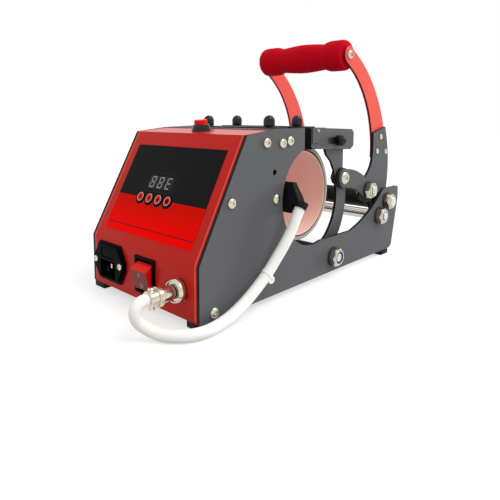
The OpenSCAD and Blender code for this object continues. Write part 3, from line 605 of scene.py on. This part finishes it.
PLATE_FACE = 77  # the outer face of the side plates
ARM_PIVOT, HANDLE_PIVOT, STOP_ROD = (184.5, 21.5), (298.5, 65), (280, 50)
blue_nut, pale_nut = lock_nut(NYLON_BLUE), lock_nut(NYLON_PALE)
nuts = []
for side in (1, -1):
    for spot, pattern in ((ARM_PIVOT, blue_nut), (HANDLE_PIVOT, pale_nut), (STOP_ROD, pale_nut)):
        nuts.append(on_side(another(pattern, "nut"), side, spot, PLATE_FACE))
print("lock nuts on the shafts:", len(nuts))
nuts = settle(joined("shaft_lock_nuts", nuts), "shaft_nuts")
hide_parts("shaft_nuts")

# %% [markdown]
# Shafts are turned rods with a broken edge at each end, which plain cylinders would
# lack. The arm's shaft ends inside its nuts. The stop rod steps down where it passes
# through the plates.

# %% Shafts
BROKEN_EDGE = 0.8


def rod_profile(radius, end):
    half = [(radius, end - BROKEN_EDGE), (radius - BROKEN_EDGE, end), (0, end)]
    return [(r, -x) for r, x in reversed(half)] + half


stop_half = [(6, 74), (4, 74), (4, 86.1), (3.4, 86.7), (0, 86.7)]
stop_profile = [(r, -x) for r, x in reversed(stop_half)] + stop_half
rods = [
    on_side(turned("handle_shaft", rod_profile(6, 86.7), 48), 1, HANDLE_PIVOT),
    on_side(turned("arm_shaft", rod_profile(5, 84.6), 48), 1, ARM_PIVOT),
    on_side(turned("stop_rod", stop_profile, 48), 1, STOP_ROD),
]
shafts = settle(joined("turned_shafts", [coat(rod, CHROME) for rod in rods]), "shafts")
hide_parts("shafts")
print("shafts:", len(rods))

# %% [markdown]
# Square pieces start as a cube that is scaled and moved to its edges in edit mode. A
# second function takes its depth as measured from the front of the plates.

# %% Slabs
def slab(name, x, y, z):
    bpy.ops.object.select_all(action="DESELECT")
    bpy.ops.mesh.primitive_cube_add(size=1)
    obj = bpy.context.object
    obj.name = name
    bpy.ops.object.mode_set(mode="EDIT")
    bpy.ops.transform.resize(value=[mm(high - low) for low, high in (x, y, z)])
    bpy.ops.transform.translate(value=[mm((low + high) / 2) for low, high in (x, y, z)])
    bpy.ops.object.mode_set(mode="OBJECT")
    return obj


def block(name, x, y, z):
    return slab(name, x, [edge - MIDDLE_Y for edge in y], z)  # y as measured from the plates' front


# %% [markdown]
# Cap screws are turned domes with a hexagon recess. The side plates have six each, so
# the screw is modelled once and copied. The two screws of the mains inlet have a
# crossed recess instead, cut by two thin slabs.

# %% Frame screws
SCREWS = [(77.7, 142.5), (99.2, 141.3), (109.8, 143.1), (35.0, 96.2), (90.7, 92.9), (15.2, 12.2)]
pattern = turned("cap_screw", [
    (0, -7), (2.4, -7), (2.4, 0), (4.4, 0), (4.5, 0.3), (4.4, 0.9), (4.0, 1.6), (3.2, 2.15),
    (2.2, 2.4), (0, 2.4)], 40)
coat(cut(pattern, prism(6, 1.5, 1.2, 4)), NICKEL)
screws = [on_side(another(pattern, "screw"), side, spot, PLATE_FACE) for spot in SCREWS for side in (1, -1)]
bpy.data.objects.remove(pattern)
FORWARD = (0, -1, 0)
for x in (-65.4, -25.4):
    dome_screw = turned("inlet_screw", [
        (0, -4), (1.5, -4), (1.5, 4.3), (3, 4.3), (2.95, 4.7), (2.5, 5.3), (1.6, 5.62), (0, 5.7)])
    for x_half, y_half in ((1.7, 0.35), (0.35, 1.7)):
        cut(dome_screw, slab("slot", (-x_half, x_half), (-y_half, y_half), (5.0, 6)))
    screws.append(stand(coat(dome_screw, NICKEL), at(x, 0, 30.5), FORWARD))
print("frame screws:", len(screws))
screws = settle(joined("dome_head_screws", screws), "frame_screws")
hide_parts("frame_screws")

# %% [markdown]
# The pin of each arm has a hexagon inside, a wide coated washer outside, and a bright
# button head with a hexagon recess. The stud of the ear knob stands beside it. All are
# made at their own distance from the middle of the press, so that standing them on
# their axis is the only move.

# %% Arm pins
ARM_PIN, EAR_STUD = (217, 99), (203, 139.91)
HEAD_PROFILE = [
    (0, 67.3), (4, 67.3), (4, 68.8), (6.9, 68.8), (7.1, 69.2), (6.9, 70), (6.2, 70.9), (4.9, 71.6),
    (3, 71.9), (0, 71.9)]
WASHER_PROFILE = [
    (4, 67.3), (10.2, 67.3), (10.5, 67.6), (10.5, 68.6), (10.3, 68.8), (4, 68.8), (4, 67.3)]
pins = []
for side in (1, -1):
    head = cut(turned("button_head", HEAD_PROFILE, 48), prism(6, 2.4, 70.6, 74))
    washer = coat(turned("washer", WASHER_PROFILE, 64), GREY_COAT)
    # The rim of the washer gets the same dark painted shade as the plates' edges.
    paint(washer, GREY_EDGE_SHADE, lambda face: abs(face.normal.z) < 0.8)
    pin = turned("pin", [(0, 55.5), (4, 55.5), (4, 67.5), (0, 67.5)], 40)
    for piece in (coat(head, NICKEL), washer, coat(pin, CHROME), coat(hexagon(13, 55.5, 60.5), NICKEL)):
        pins.append(on_side(piece, side, ARM_PIN))
    stud = turned("stud", [(0, 59.5), (2.5, 59.5), (2.5, 73.4), (2, 73.9), (0, 73.9)])
    for piece in (stud, hexagon(8, 57, 60.5)):
        pins.append(on_side(coat(piece, NICKEL), side, EAR_STUD))
print("pieces of the arm pins:", len(pins))
pins = settle(joined("arm_pin_set", pins), "arm_pins")
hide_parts("arm_pins")

# %% [markdown]
# Each side of the handle has the crank pin with its lock nut, three rivets that hold
# the red bar to the plate, and the screw at the end of the grip. They ride on the
# handle as one piece, as their solid does.

# %% Handle pins
CRANK_PIN, CRANK_NUT_X = (271.02, 79.98), 67.3
RIVETS = [(7.5, 75.3), (-0.6, 58.3), (20.5, 57)]  # from the handle's pivot
CRANK_PROFILE = [
    (0, 56.5), (7.6, 56.5), (8, 56.9), (8, 60.5), (5, 60.5), (5, 76.3), (4.4, 76.9), (0, 76.9)]
RIVET_PROFILE = [
    (0, 57.5), (2, 57.5), (2, 63.5), (3.2, 63.5), (3.1, 64.1), (2.4, 64.7), (1.2, 64.9), (0, 64.9)]
GRIP_SCREW_PROFILE = [
    (0, 57.5), (3, 57.5), (3, 60.5), (5.0, 60.5), (5.1, 60.8), (4.9, 61.5), (4.4, 62.3), (3.6, 62.9),
    (2.6, 63.1), (0, 63.1)]
pins = []
for side in (1, -1):
    crank = turned("crank_pin", CRANK_PROFILE, 48)
    pins.append(on_side(coat(crank, NICKEL), side, CRANK_PIN))
    pins.append(on_side(another(pale_nut, "crank_nut"), side, CRANK_PIN, CRANK_NUT_X))
    for y, z in RIVETS:
        rivet = coat(turned("rivet", RIVET_PROFILE), NICKEL)
        pins.append(on_side(rivet, side, (HANDLE_PIVOT[0] + y, HANDLE_PIVOT[1] + z)))
    screw = cut(turned("grip_screw", GRIP_SCREW_PROFILE, 40), prism(6, 2.2, 61.4, 65))
    pins.append(on_side(coat(screw, NICKEL), side, GRIP_AXIS))
print("pieces of the handle pins:", len(pins))
pins = settle(joined("handle_pin_set", pins), "handle_pins")
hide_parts("handle_pins")
for pattern in (blue_nut, pale_nut):
    bpy.data.objects.remove(pattern)

# %% [markdown]
# The inner edge of each red bar runs in one sweep into the round end that holds the
# grip. The solid has a nick there, so a block is cut by the cylinder of that sweep and
# joined to the bar's copy. It is a hair thinner than the bar, so that no two faces
# share a plane.

# %% Shoulders of the bars
SWEEP_CENTRE, SWEEP_RADIUS = (181.4, 125.1), 109.3
for side, bar in bars.items():
    shoulder = block("shoulder", sorted((side * 57.52, side * 60.48)), (231, 242.5), (216, 225))
    cut(shoulder, on_side(prism(256, SWEEP_RADIUS, 50, 70), side, SWEEP_CENTRE))
    # Its edges get the bars' dark red painted shade.
    paint(coat(shoulder, CORAL_COAT), CORAL_EDGE_SHADE, is_shaded_edge)
    joined(bar.name, [bar, shoulder])
    print(bar.name, len(bar.data.polygons), "faces")

# %% [markdown]
# The heater is one soft wall wrapped round the mug: a pink silicone pad inside, a pale
# grey jacket outside, and between them a black layer, which is painted shade for the
# groove between the two. Each layer is a rectangle swept about the mug's axis, from the
# front jaw round the bottom to the rear jaw. The pad swells a little into the bore, past
# the seat that the solids give, and the rear end of the jacket stands off under the head.
# The front half stays with the frame and the rear half opens with the clamp, so the wall
# bends at the bottom. Here the wall is one piece, shaped as it is at rest.

# %% Heater wall
MUG_AXIS = at(0, 151.5, 89.1)
FIRST_DEG, LAST_DEG, WALL_STEPS = 115.2, 444.9, 120
PAD_R, GROOVE_R, JACKET_R, WALL_R = 41.2, 42.3, 43.3, 47.2
STAND_OFF = 3.5


def wall(name, inner, outer, half, lip=0.0):
    first = math.radians(FIRST_DEG)
    out = Vector((0, math.cos(first), math.sin(first)))
    corners = [(inner + lip, -half), (outer - lip, -half), (outer, lip - half), (outer, half - lip),
               (outer - lip, half), (inner + lip, half), (inner, half - lip), (inner, lip - half)]
    section = [MUG_AXIS + out * mm(r) + Vector((mm(x), 0, 0)) for r, x in corners + corners[:1]]
    obj = traced(name, section)
    bpy.ops.mesh.remove_doubles(threshold=SAME_POINT)
    sweep = math.radians(LAST_DEG - FIRST_DEG)
    bpy.ops.mesh.spin(steps=WALL_STEPS, angle=sweep, center=MUG_AXIS, axis=(-1, 0, 0))
    bpy.ops.mesh.select_all(action="SELECT")
    bpy.ops.mesh.remove_doubles(threshold=SAME_POINT)
    bpy.ops.mesh.fill_holes(sides=0)
    bpy.ops.mesh.normals_make_consistent(inside=False)
    bpy.ops.object.mode_set(mode="OBJECT")
    return obj


pad = coat(wall("heater_pad", PAD_R, GROOVE_R, 59, 0.3), SILICONE)
# The ends of the pad are painted lighter, as a painted highlight.
paint(pad, PAD_RIM_HIGHLIGHT, lambda face: abs(face.normal.x) > 0.3)
# The black layer stands in for the shade in the groove between pad and jacket.
groove_shade = coat(wall("heater_groove_shade", GROOVE_R, JACKET_R, 58.9), RUBBER)
jacket = coat(wall("heater_jacket", JACKET_R, WALL_R, 59, 0.5), JACKET)
for vertex in jacket.data.vertices:
    rise = (vertex.co - MUG_AXIS).z / mm(WALL_R)
    if vertex.co.y > MUG_AXIS.y and rise > 0:
        vertex.co.y += mm(STAND_OFF) * rise ** 2
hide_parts("heater_pad_front", "heater_pad_rear")
for piece in (pad, groove_shade, jacket):
    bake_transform(piece)
print("heater wall:", [len(piece.data.polygons) for piece in (pad, groove_shade, jacket)], "faces")

# %% [markdown]
# A bent steel bracket carries each end of the wall: a leg behind the jaw and a flange
# on top with two slots for the knobs' studs. A sheet could be extruded round the bend,
# but it is so thin that two slabs that meet at the corner look the same.

# %% Heater brackets
BRACKET_X, FLANGE_Z = (-57, 57), (153.51, 154.7)
KNOB_X, SLOT_HALF = (-42.3, 42.3), (5.8, 2.8)


def bracket(name, leg_y, flange_y, low_z, knob_y):
    leg = block(name, BRACKET_X, leg_y, (low_z, FLANGE_Z[1]))
    flange = block("flange", BRACKET_X, flange_y, FLANGE_Z)
    slot_y = (knob_y - SLOT_HALF[1], knob_y + SLOT_HALF[1])
    for x in KNOB_X:
        cut(flange, block("slot", (x - SLOT_HALF[0], x + SLOT_HALF[0]), slot_y, (150, 160)))
    return coat(joined(name, [leg, flange]), BRACKET)


front_bracket = bracket("bracket_front", (131, 132.2), (111, 131), 128.3, 122)
rear_bracket = bracket("bracket_rear", (155.6, 156.8), (156.8, 176.6), 134.3, 166)
settle(front_bracket, "heater_band_front")
settle(rear_bracket, "heater_band_rear")
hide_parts("heater_band_front")
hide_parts("heater_band_rear")
print("bracket faces:", len(front_bracket.data.polygons), len(rear_bracket.data.polygons))

# %% [markdown]
# A short rubber lip closes the corner between the head and each end of the heater. The
# solids leave it out, so two small slabs ride with the edge strip of the rear jaw.

# %% Rubber lips
LIP_X, LIP_Y, LIP_Z = (59.4, 66.4), (157.1, 158.9), (132.4, 135.6)
for side in (1, -1):
    lip = block("rubber_lip", sorted(side * x for x in LIP_X), LIP_Y, LIP_Z)
    settle(coat(lip, RUBBER), "edge_strip_rear")
    print(lip.name, "on", BODY_OF["edge_strip_rear"])

# %% [markdown]
# A small screw holds each tab to the side of the head. It is turned like the others and
# rides with its tab. It shows as a pale dot, so it takes the jacket's pale finish.

# %% Tab screws
TAB_SCREW = (166.4, 150.6)
TAB_SCREW_PROFILE = [(0, 68.1), (1.9, 68.1), (1.9, 68.5), (1.5, 69.1), (0.8, 69.4), (0, 69.4)]
for side in (1, -1):
    piece = coat(turned("tab_screw", TAB_SCREW_PROFILE, 24), JACKET)
    settle(on_side(piece, side, TAB_SCREW), "head_tabs")
    print(piece.name, len(piece.data.polygons), "faces")

# %% [markdown]
# The feet are square rubber blocks with rounded edges, two under the panel and two
# under the rear of the side plates. Slabs with a bevel of three segments give the soft
# edge that moulded rubber has.

# %% Feet
FEET_X, FEET_Y, FOOT_Z = ((60.6, 77), (-77, -60.6)), ((0.6, 18.4), (289.6, 306.4)), (0, 6)
feet = [coat(eased(block("foot", x, y, FOOT_Z), 0.8, 3), RUBBER) for x in FEET_X for y in FEET_Y]
print("feet:", len(feet))
feet = settle(joined("square_feet", feet), "rubber_feet")
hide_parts("rubber_feet")

# %% [markdown]
# The cover is bent round at its two side edges, and the bend shows as a brighter line,
# which is a painted highlight.
# A bevel on the thin sheet can't be wider than the sheet, so a rod that lies almost
# flush with it, along the whole edge, gives that roll. A line of points with a round
# section is the quickest rod that follows the bends.

# %% Rolled edges of the cover
ROLL = [(1.5, 7.8), (1.5, 51.3), (54.2, 148.3), (88.6, 151.3)]
ROLL_X, ROLL_R = 72.1, 1.75
for side in (1, -1):
    curve = bpy.data.curves.new("cover_roll", "CURVE")
    curve.dimensions = "3D"
    spline = curve.splines.new("POLY")
    spline.points.add(len(ROLL) - 1)
    for point, (y, z) in zip(spline.points, ROLL):
        point.co = (*at(side * ROLL_X, y, z), 1)
    curve.bevel_depth, curve.bevel_resolution, curve.use_fill_caps = mm(ROLL_R), 6, True
    roll = bpy.data.objects.new("cover_roll", curve)
    bpy.context.collection.objects.link(roll)
    only(roll)
    bpy.ops.object.convert(target="MESH")
    # The roll is painted a brighter red, as a painted highlight.
    roll = settle(coat(bpy.context.object, RED_ROLL_HIGHLIGHT), "front_cover")
    print(roll.name, len(roll.data.polygons), "faces")

# %% [markdown]
# The clip on the lead is a band with a small eye. Its band lies tight on the lead, and
# the solid has some room there. So the copy of the solid is laid along Z, its band is
# drawn in, and it is laid back.

# %% Lead clip
CLIP_PLACE, LEAD_WAY = at(84.88, 69.5, 32.17), Vector((-0.8, -10, -8.2))
clip = rounded("cable_tie", 0.4)
turn = Vector((0, 0, 1)).rotation_difference(LEAD_WAY).to_matrix().to_4x4()
lay = Matrix.Translation(CLIP_PLACE) @ turn
clip.data.transform(lay.inverted())
draw_in(clip, 0.93, lambda point: mm(4.9) < point.xy.length < mm(5.6))
clip.data.transform(lay)
print("clip faces:", len(clip.data.polygons))

# %% [markdown]
# The print on the panel lies in the plane of the slanted cover, so it is drawn flat,
# with x across the panel and y up the slope, and then leaned back with the panel. It
# could be painted in the material, but thin sheets stay sharp at any distance. The
# black field covers the upper part, with the cut edges of the film, and reaches round
# the four keys.

# %% Black field of the overlay
LEAN = math.radians(90 - 28.54)
PANEL = Matrix.Translation(at(0, 0, 51.7)) @ Matrix.Rotation(LEAN, 4, "X")
KEY_X, KEY_S = (-26, -13, 0, 13), 45
PRINT = (0.48, 0.55)  # from just inside the film to a little above it
THROUGH = (0, 1)


def printed(obj, material, node):
    obj.data.transform(PANEL)
    return settle(coat(obj, material), node)


def moved(obj, x, y):
    obj.data.transform(Matrix.Translation((mm(x), mm(y), 0)))
    return obj


field = slab("black_field", (-61.6, 61.6), (KEY_S, 97.1), (0.02, PRINT[1]))
for x in KEY_X:
    cut(field, moved(prism(48, 6.9, *PRINT), x, KEY_S), "UNION")
for x in KEY_X:
    cut(field, moved(prism(48, 5.4, *THROUGH), x, KEY_S))
cut(field, slab("opening", (-24.9, 11.9), (54.6, 67.4), THROUGH))
printed(field, FILM_BLACK, "control_overlay")
outline = slab("display_outline", (-29, 16), (51.6, 70.6), (0.5, 0.57))
cut(outline, slab("opening", (-28.5, 15.5), (52.1, 70.1), THROUGH))
printed(outline, FILM_DIM, "control_overlay")
printed(slab("lower_line", (-61.4, 61.4), (16.6, 17.3), PRINT), FILM_BLACK, "control_overlay")
print("black field faces:", len(field.data.polygons))

# %% [markdown]
# Three seven-segment figures stand in the window. A text object would need a font, and
# a display has none: each stroke is a thin bar, four of them upright and three across.
# Two strokes of the last figure are unlit.

# %% Display figures
WIDE, TALL, STROKE, SLANT, JOINT = 6.4, 11, 1.15, 0.12, 0.8
FIGURES_X, BASE_LINE, STROKE_Z = (-21.2, -10.0, 1.2), 55.5, (0.38, 0.44)
STROKES = [((JOINT, WIDE - JOINT), (y, y + STROKE)) for y in (0, (TALL - STROKE) / 2, TALL - STROKE)]
for x in (0, WIDE - STROKE):
    STROKES += [((x, x + STROKE), (y + JOINT, y + TALL / 2 - JOINT)) for y in (0, TALL / 2)]
for figure, left in enumerate(FIGURES_X):
    for number, ((x0, x1), (y0, y1)) in enumerate(STROKES):
        start = left + SLANT * (y0 + y1) / 2
        stroke_y = (BASE_LINE + y0, BASE_LINE + y1)
        bar = slab("stroke_%d_%d" % (figure, number), (start + x0, start + x1), stroke_y, STROKE_Z)
        unlit = figure == 2 and number > 4
        printed(bar, SEGMENT_DIM if unlit else SEGMENT, "display_window")
print("strokes:", len(FIGURES_X) * len(STROKES))

# %% [markdown]
# Each key is a red disc with a black rim, a pale ring inside the rim and a plain black
# sign in the middle: up, down, a diamond and a round dot. The rings are turned and the
# signs are flat prisms. They move with their keys.

# %% Key prints
KEY_TOP, SIGN_R = 1.36, 2.2
for number, (x, sides) in enumerate(zip(KEY_X, (3, 3, 4, 24)), 1):
    node = "key_%d" % number
    paint(rounded(node, 0.2), FILM_BLACK, lambda face: face.normal.dot(PANEL.col[2].xyz) < 0.8)
    printed(moved(flat_ring("key_rim", 4.3, 4.95, KEY_TOP, 1.43, 48), x, KEY_S), FILM_BLACK, node)
    printed(moved(flat_ring("key_ring", 3.65, 4.3, KEY_TOP, 1.44, 48), x, KEY_S), FILM_PALE, node)
    sign = prism(sides, SIGN_R, KEY_TOP, 1.46)
    sign.name = "key_sign_%d" % number
    if number == 2:
        sign.data.transform(Matrix.Rotation(math.pi, 4, "Z"))
    printed(moved(sign, x, KEY_S), FILM_BLACK, node)
    print(node, "has a sign with", sides, "sides")

# %% [markdown]
# The rocker carries the usual I and O. They are a thin slab and a flat ring, laid on
# its front face by one matrix: to its pivot, leaned with it, out to the face, and stood
# upright.

# %% Rocker marks
ROCKER_LEAN, FACE_OUT, MARK = math.radians(15), mm(-10.3), (-0.02, 0.05)
FACE = (Matrix.Translation(at(8.5, 4, 29.5)) @ Matrix.Rotation(ROCKER_LEAN, 4, "X")
        @ Matrix.Translation((0, FACE_OUT, 0)) @ Matrix.Rotation(math.radians(90), 4, "X"))
marks = [
    slab("mark_on", (-0.5, 0.5), (3.6, 7), MARK),
    moved(flat_ring("mark_off", 1.3, 2, *MARK), 0, -5.2),
]
for mark in marks:
    mark.data.transform(FACE)
    settle(coat(mark, FILM_PALE), "rocker")
print("rocker marks:", len(marks))

# %% [markdown]
# The coupling ring is a short metal sleeve that holds the plug to the panel. Its front
# is hollow, which a plain cylinder can't give, so its profile goes over the rim and
# back down inside. It has many columns, because a coarse outline shows on bright metal.

# %% Coupling ring
SOCKET_X, SOCKET_Z, RING_COLUMNS = 54.7, 29.5, 96
ring = turned("knurled_ring", [
    (7.26375, 0), (9.36, 0), (9.75, 0.5), (9.75, 3.6), (9.6525, 4), (8.8725, 6.6), (8.6775, 6.8),
    (8.2875, 6.8), (8.0925, 6.6), (8.0925, 3.6), (7.26375, 3.6), (7.26375, 0)], RING_COLUMNS)
stand(ring, at(SOCKET_X, -1.6, SOCKET_Z), FORWARD)
settle(coat(ring, NICKEL), "plug_ring")
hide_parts("plug_ring")
print("ring faces:", len(ring.data.polygons))

# %% [markdown]
# The plug on the lead is a turned barrel with a collar, and a saddle that two screws
# draw down on the lead. The two screw heads are the ends of one short turned lug that
# passes through the barrel.

# %% Plug
barrel = turned("plug_barrel", [
    (0, 7.1), (5.6, 7.1), (6, 7.5), (6.5, 20.6), (7.6, 20.8), (8, 21.2), (8, 24), (7.6, 24.4), (6.6, 24.6),
    (6.6, 31.4), (6.1, 32), (0, 32)], 48)
lug = turned("lug", [(0, -8.8), (1.9, -8.8), (2.5, -8.1), (2.5, 8.1), (1.9, 8.8), (0, 8.8)], 24)
stand(barrel, at(SOCKET_X, 0, SOCKET_Z), FORWARD)
stand(lug, at(SOCKET_X, -28.2, SOCKET_Z))
plug = settle(joined("turned_plug", [coat(piece, NICKEL) for piece in (barrel, lug)]), "lead_plug")
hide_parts("lead_plug")
print("plug faces:", len(plug.data.polygons))

# %% [markdown]
# The lead runs from the boot on the heater down along the side plate, round the front
# corner on the bench, and back up into the socket on the panel. A smooth curve through
# listed points with a round section gives one unbroken tube. The points follow
# those of the solid, and the curve takes its place. Its plug, boot and clip belong to
# the same cord.

# %% Heater lead
LEAD_D = 9.6
LEAD_POINTS = [
    (89.5, 108.5, 83.6), (89, 103, 74.6), (88.5, 97.5, 64.7), (87.5, 89, 53.5), (86, 80.8, 43.6),
    (85, 71, 33.4), (84.2, 61, 25.2), (84.2, 49.5, 18.2), (84.7, 38, 12.8), (85.6, 25, 8.6),
    (86.4, 11, 6.2), (86, -2.5, 5.2), (82.5, -13.5, 5), (75.5, -22, 5), (68.7, -27.2, 5.2),
    (62, -31.5, 7), (57.5, -36.5, 11), (55.2, -40.8, 16), (54.7, -42.79, 21.5), (54.7, -41, 26.6),
    (54.7, -36.5, 29.5), (54.7, -32, 29.5),
]
curve = bpy.data.curves.new("heater_lead_sleeve", "CURVE")
curve.dimensions = "3D"
spline = curve.splines.new("BEZIER")
spline.bezier_points.add(len(LEAD_POINTS) - 1)
for knot, point in zip(spline.bezier_points, LEAD_POINTS):
    knot.co = at(*point)
    knot.handle_left_type = knot.handle_right_type = "AUTO"
curve.bevel_depth = mm(LEAD_D / 2)
curve.bevel_resolution = 6
curve.resolution_u = 8
curve.use_fill_caps = True
curve.materials.append(SLEEVE)
lead = bpy.data.objects.new("heater_lead_sleeve", curve)
bpy.context.collection.objects.link(lead)
settle(lead, "heater_lead")
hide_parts("heater_lead")

# %% [markdown]
# A bench and a white surround, as in a catalogue picture. More lamps could make them
# white, but would wash out the press. So Light Path picks out the camera's rays and
# reflections, which find the surround at full white and the bench with a glow of its
# own. For all other rays the surround is dimmer and the bench is a plain grey, so the
# press is lit at a plain level and the bench still shows its shadow.

# %% Bench and surround
WHITE = (1, 1, 1, 1)


def seen(tree):
    path = add_node(tree, "ShaderNodeLightPath")
    most = path.outputs["Is Camera Ray"]
    for name in ("Is Glossy Ray", "Is Transmission Ray"):
        either = add_node(tree, "ShaderNodeMath", {0: most, 1: path.outputs[name]}, operation="MAXIMUM")
        most = either.outputs[0]
    return most


bpy.ops.object.select_all(action="DESELECT")
bpy.ops.mesh.primitive_plane_add(size=8, location=(0, 0, 0))
bench = bpy.context.object
bench.name = "bench"
PALE_BENCH = finish("pale_bench", "#b8b8b8", "#b5b5b5", 300, 3, 0.001, (0.8, 0.9))
tree = PALE_BENCH.node_tree
shader = tree.nodes["Principled BSDF"]
glow = add_node(tree, "ShaderNodeMapRange", {"Value": seen(tree), "To Min": 0.0, "To Max": 0.6})
tree.links.new(glow.outputs["Result"], shader.inputs["Emission Strength"])
shader.inputs["Emission Color"].default_value = WHITE
bench.data.materials.append(PALE_BENCH)
world = bpy.data.worlds.new("surround")
bpy.context.scene.world = world
world.use_nodes = True
tree = world.node_tree
level = add_node(tree, "ShaderNodeMapRange", {"Value": seen(tree), "To Min": 0.8, "To Max": 1.0})
tree.nodes["Background"].inputs["Color"].default_value = WHITE
tree.links.new(level.outputs["Result"], tree.nodes["Background"].inputs["Strength"])
print("bench:", tuple(bench.dimensions), "surround:", world.name)

# %% [markdown]
# One broad lamp, far off to the right and above, lights the near plate and the tops.
# A small one behind grazes the near plate, so that the lead and the screw heads draw
# soft streaks on it. Metal doesn't mirror that second lamp, which would show as a hard
# glint. The front panels get their light from the surround.

# %% Lamps
def lamp(name, toward, energy, spread_deg):
    data = bpy.data.lights.new(name, "SUN")
    data.energy, data.angle = energy, math.radians(spread_deg)
    light = bpy.data.objects.new(name, data)
    bpy.context.collection.objects.link(light)
    light.rotation_euler = (-Vector(toward)).to_track_quat("-Z", "Y").to_euler()
    return light


lamp("key_lamp", (0.52, 0.3, 0.8), 1.4, 40)
lamp("grazing_lamp", (0.28, 0.96, 0.02), 2.6, 10).visible_glossy = False
bpy.context.scene.view_settings.view_transform = "Standard"
print("lamps:", len(bpy.data.lights))
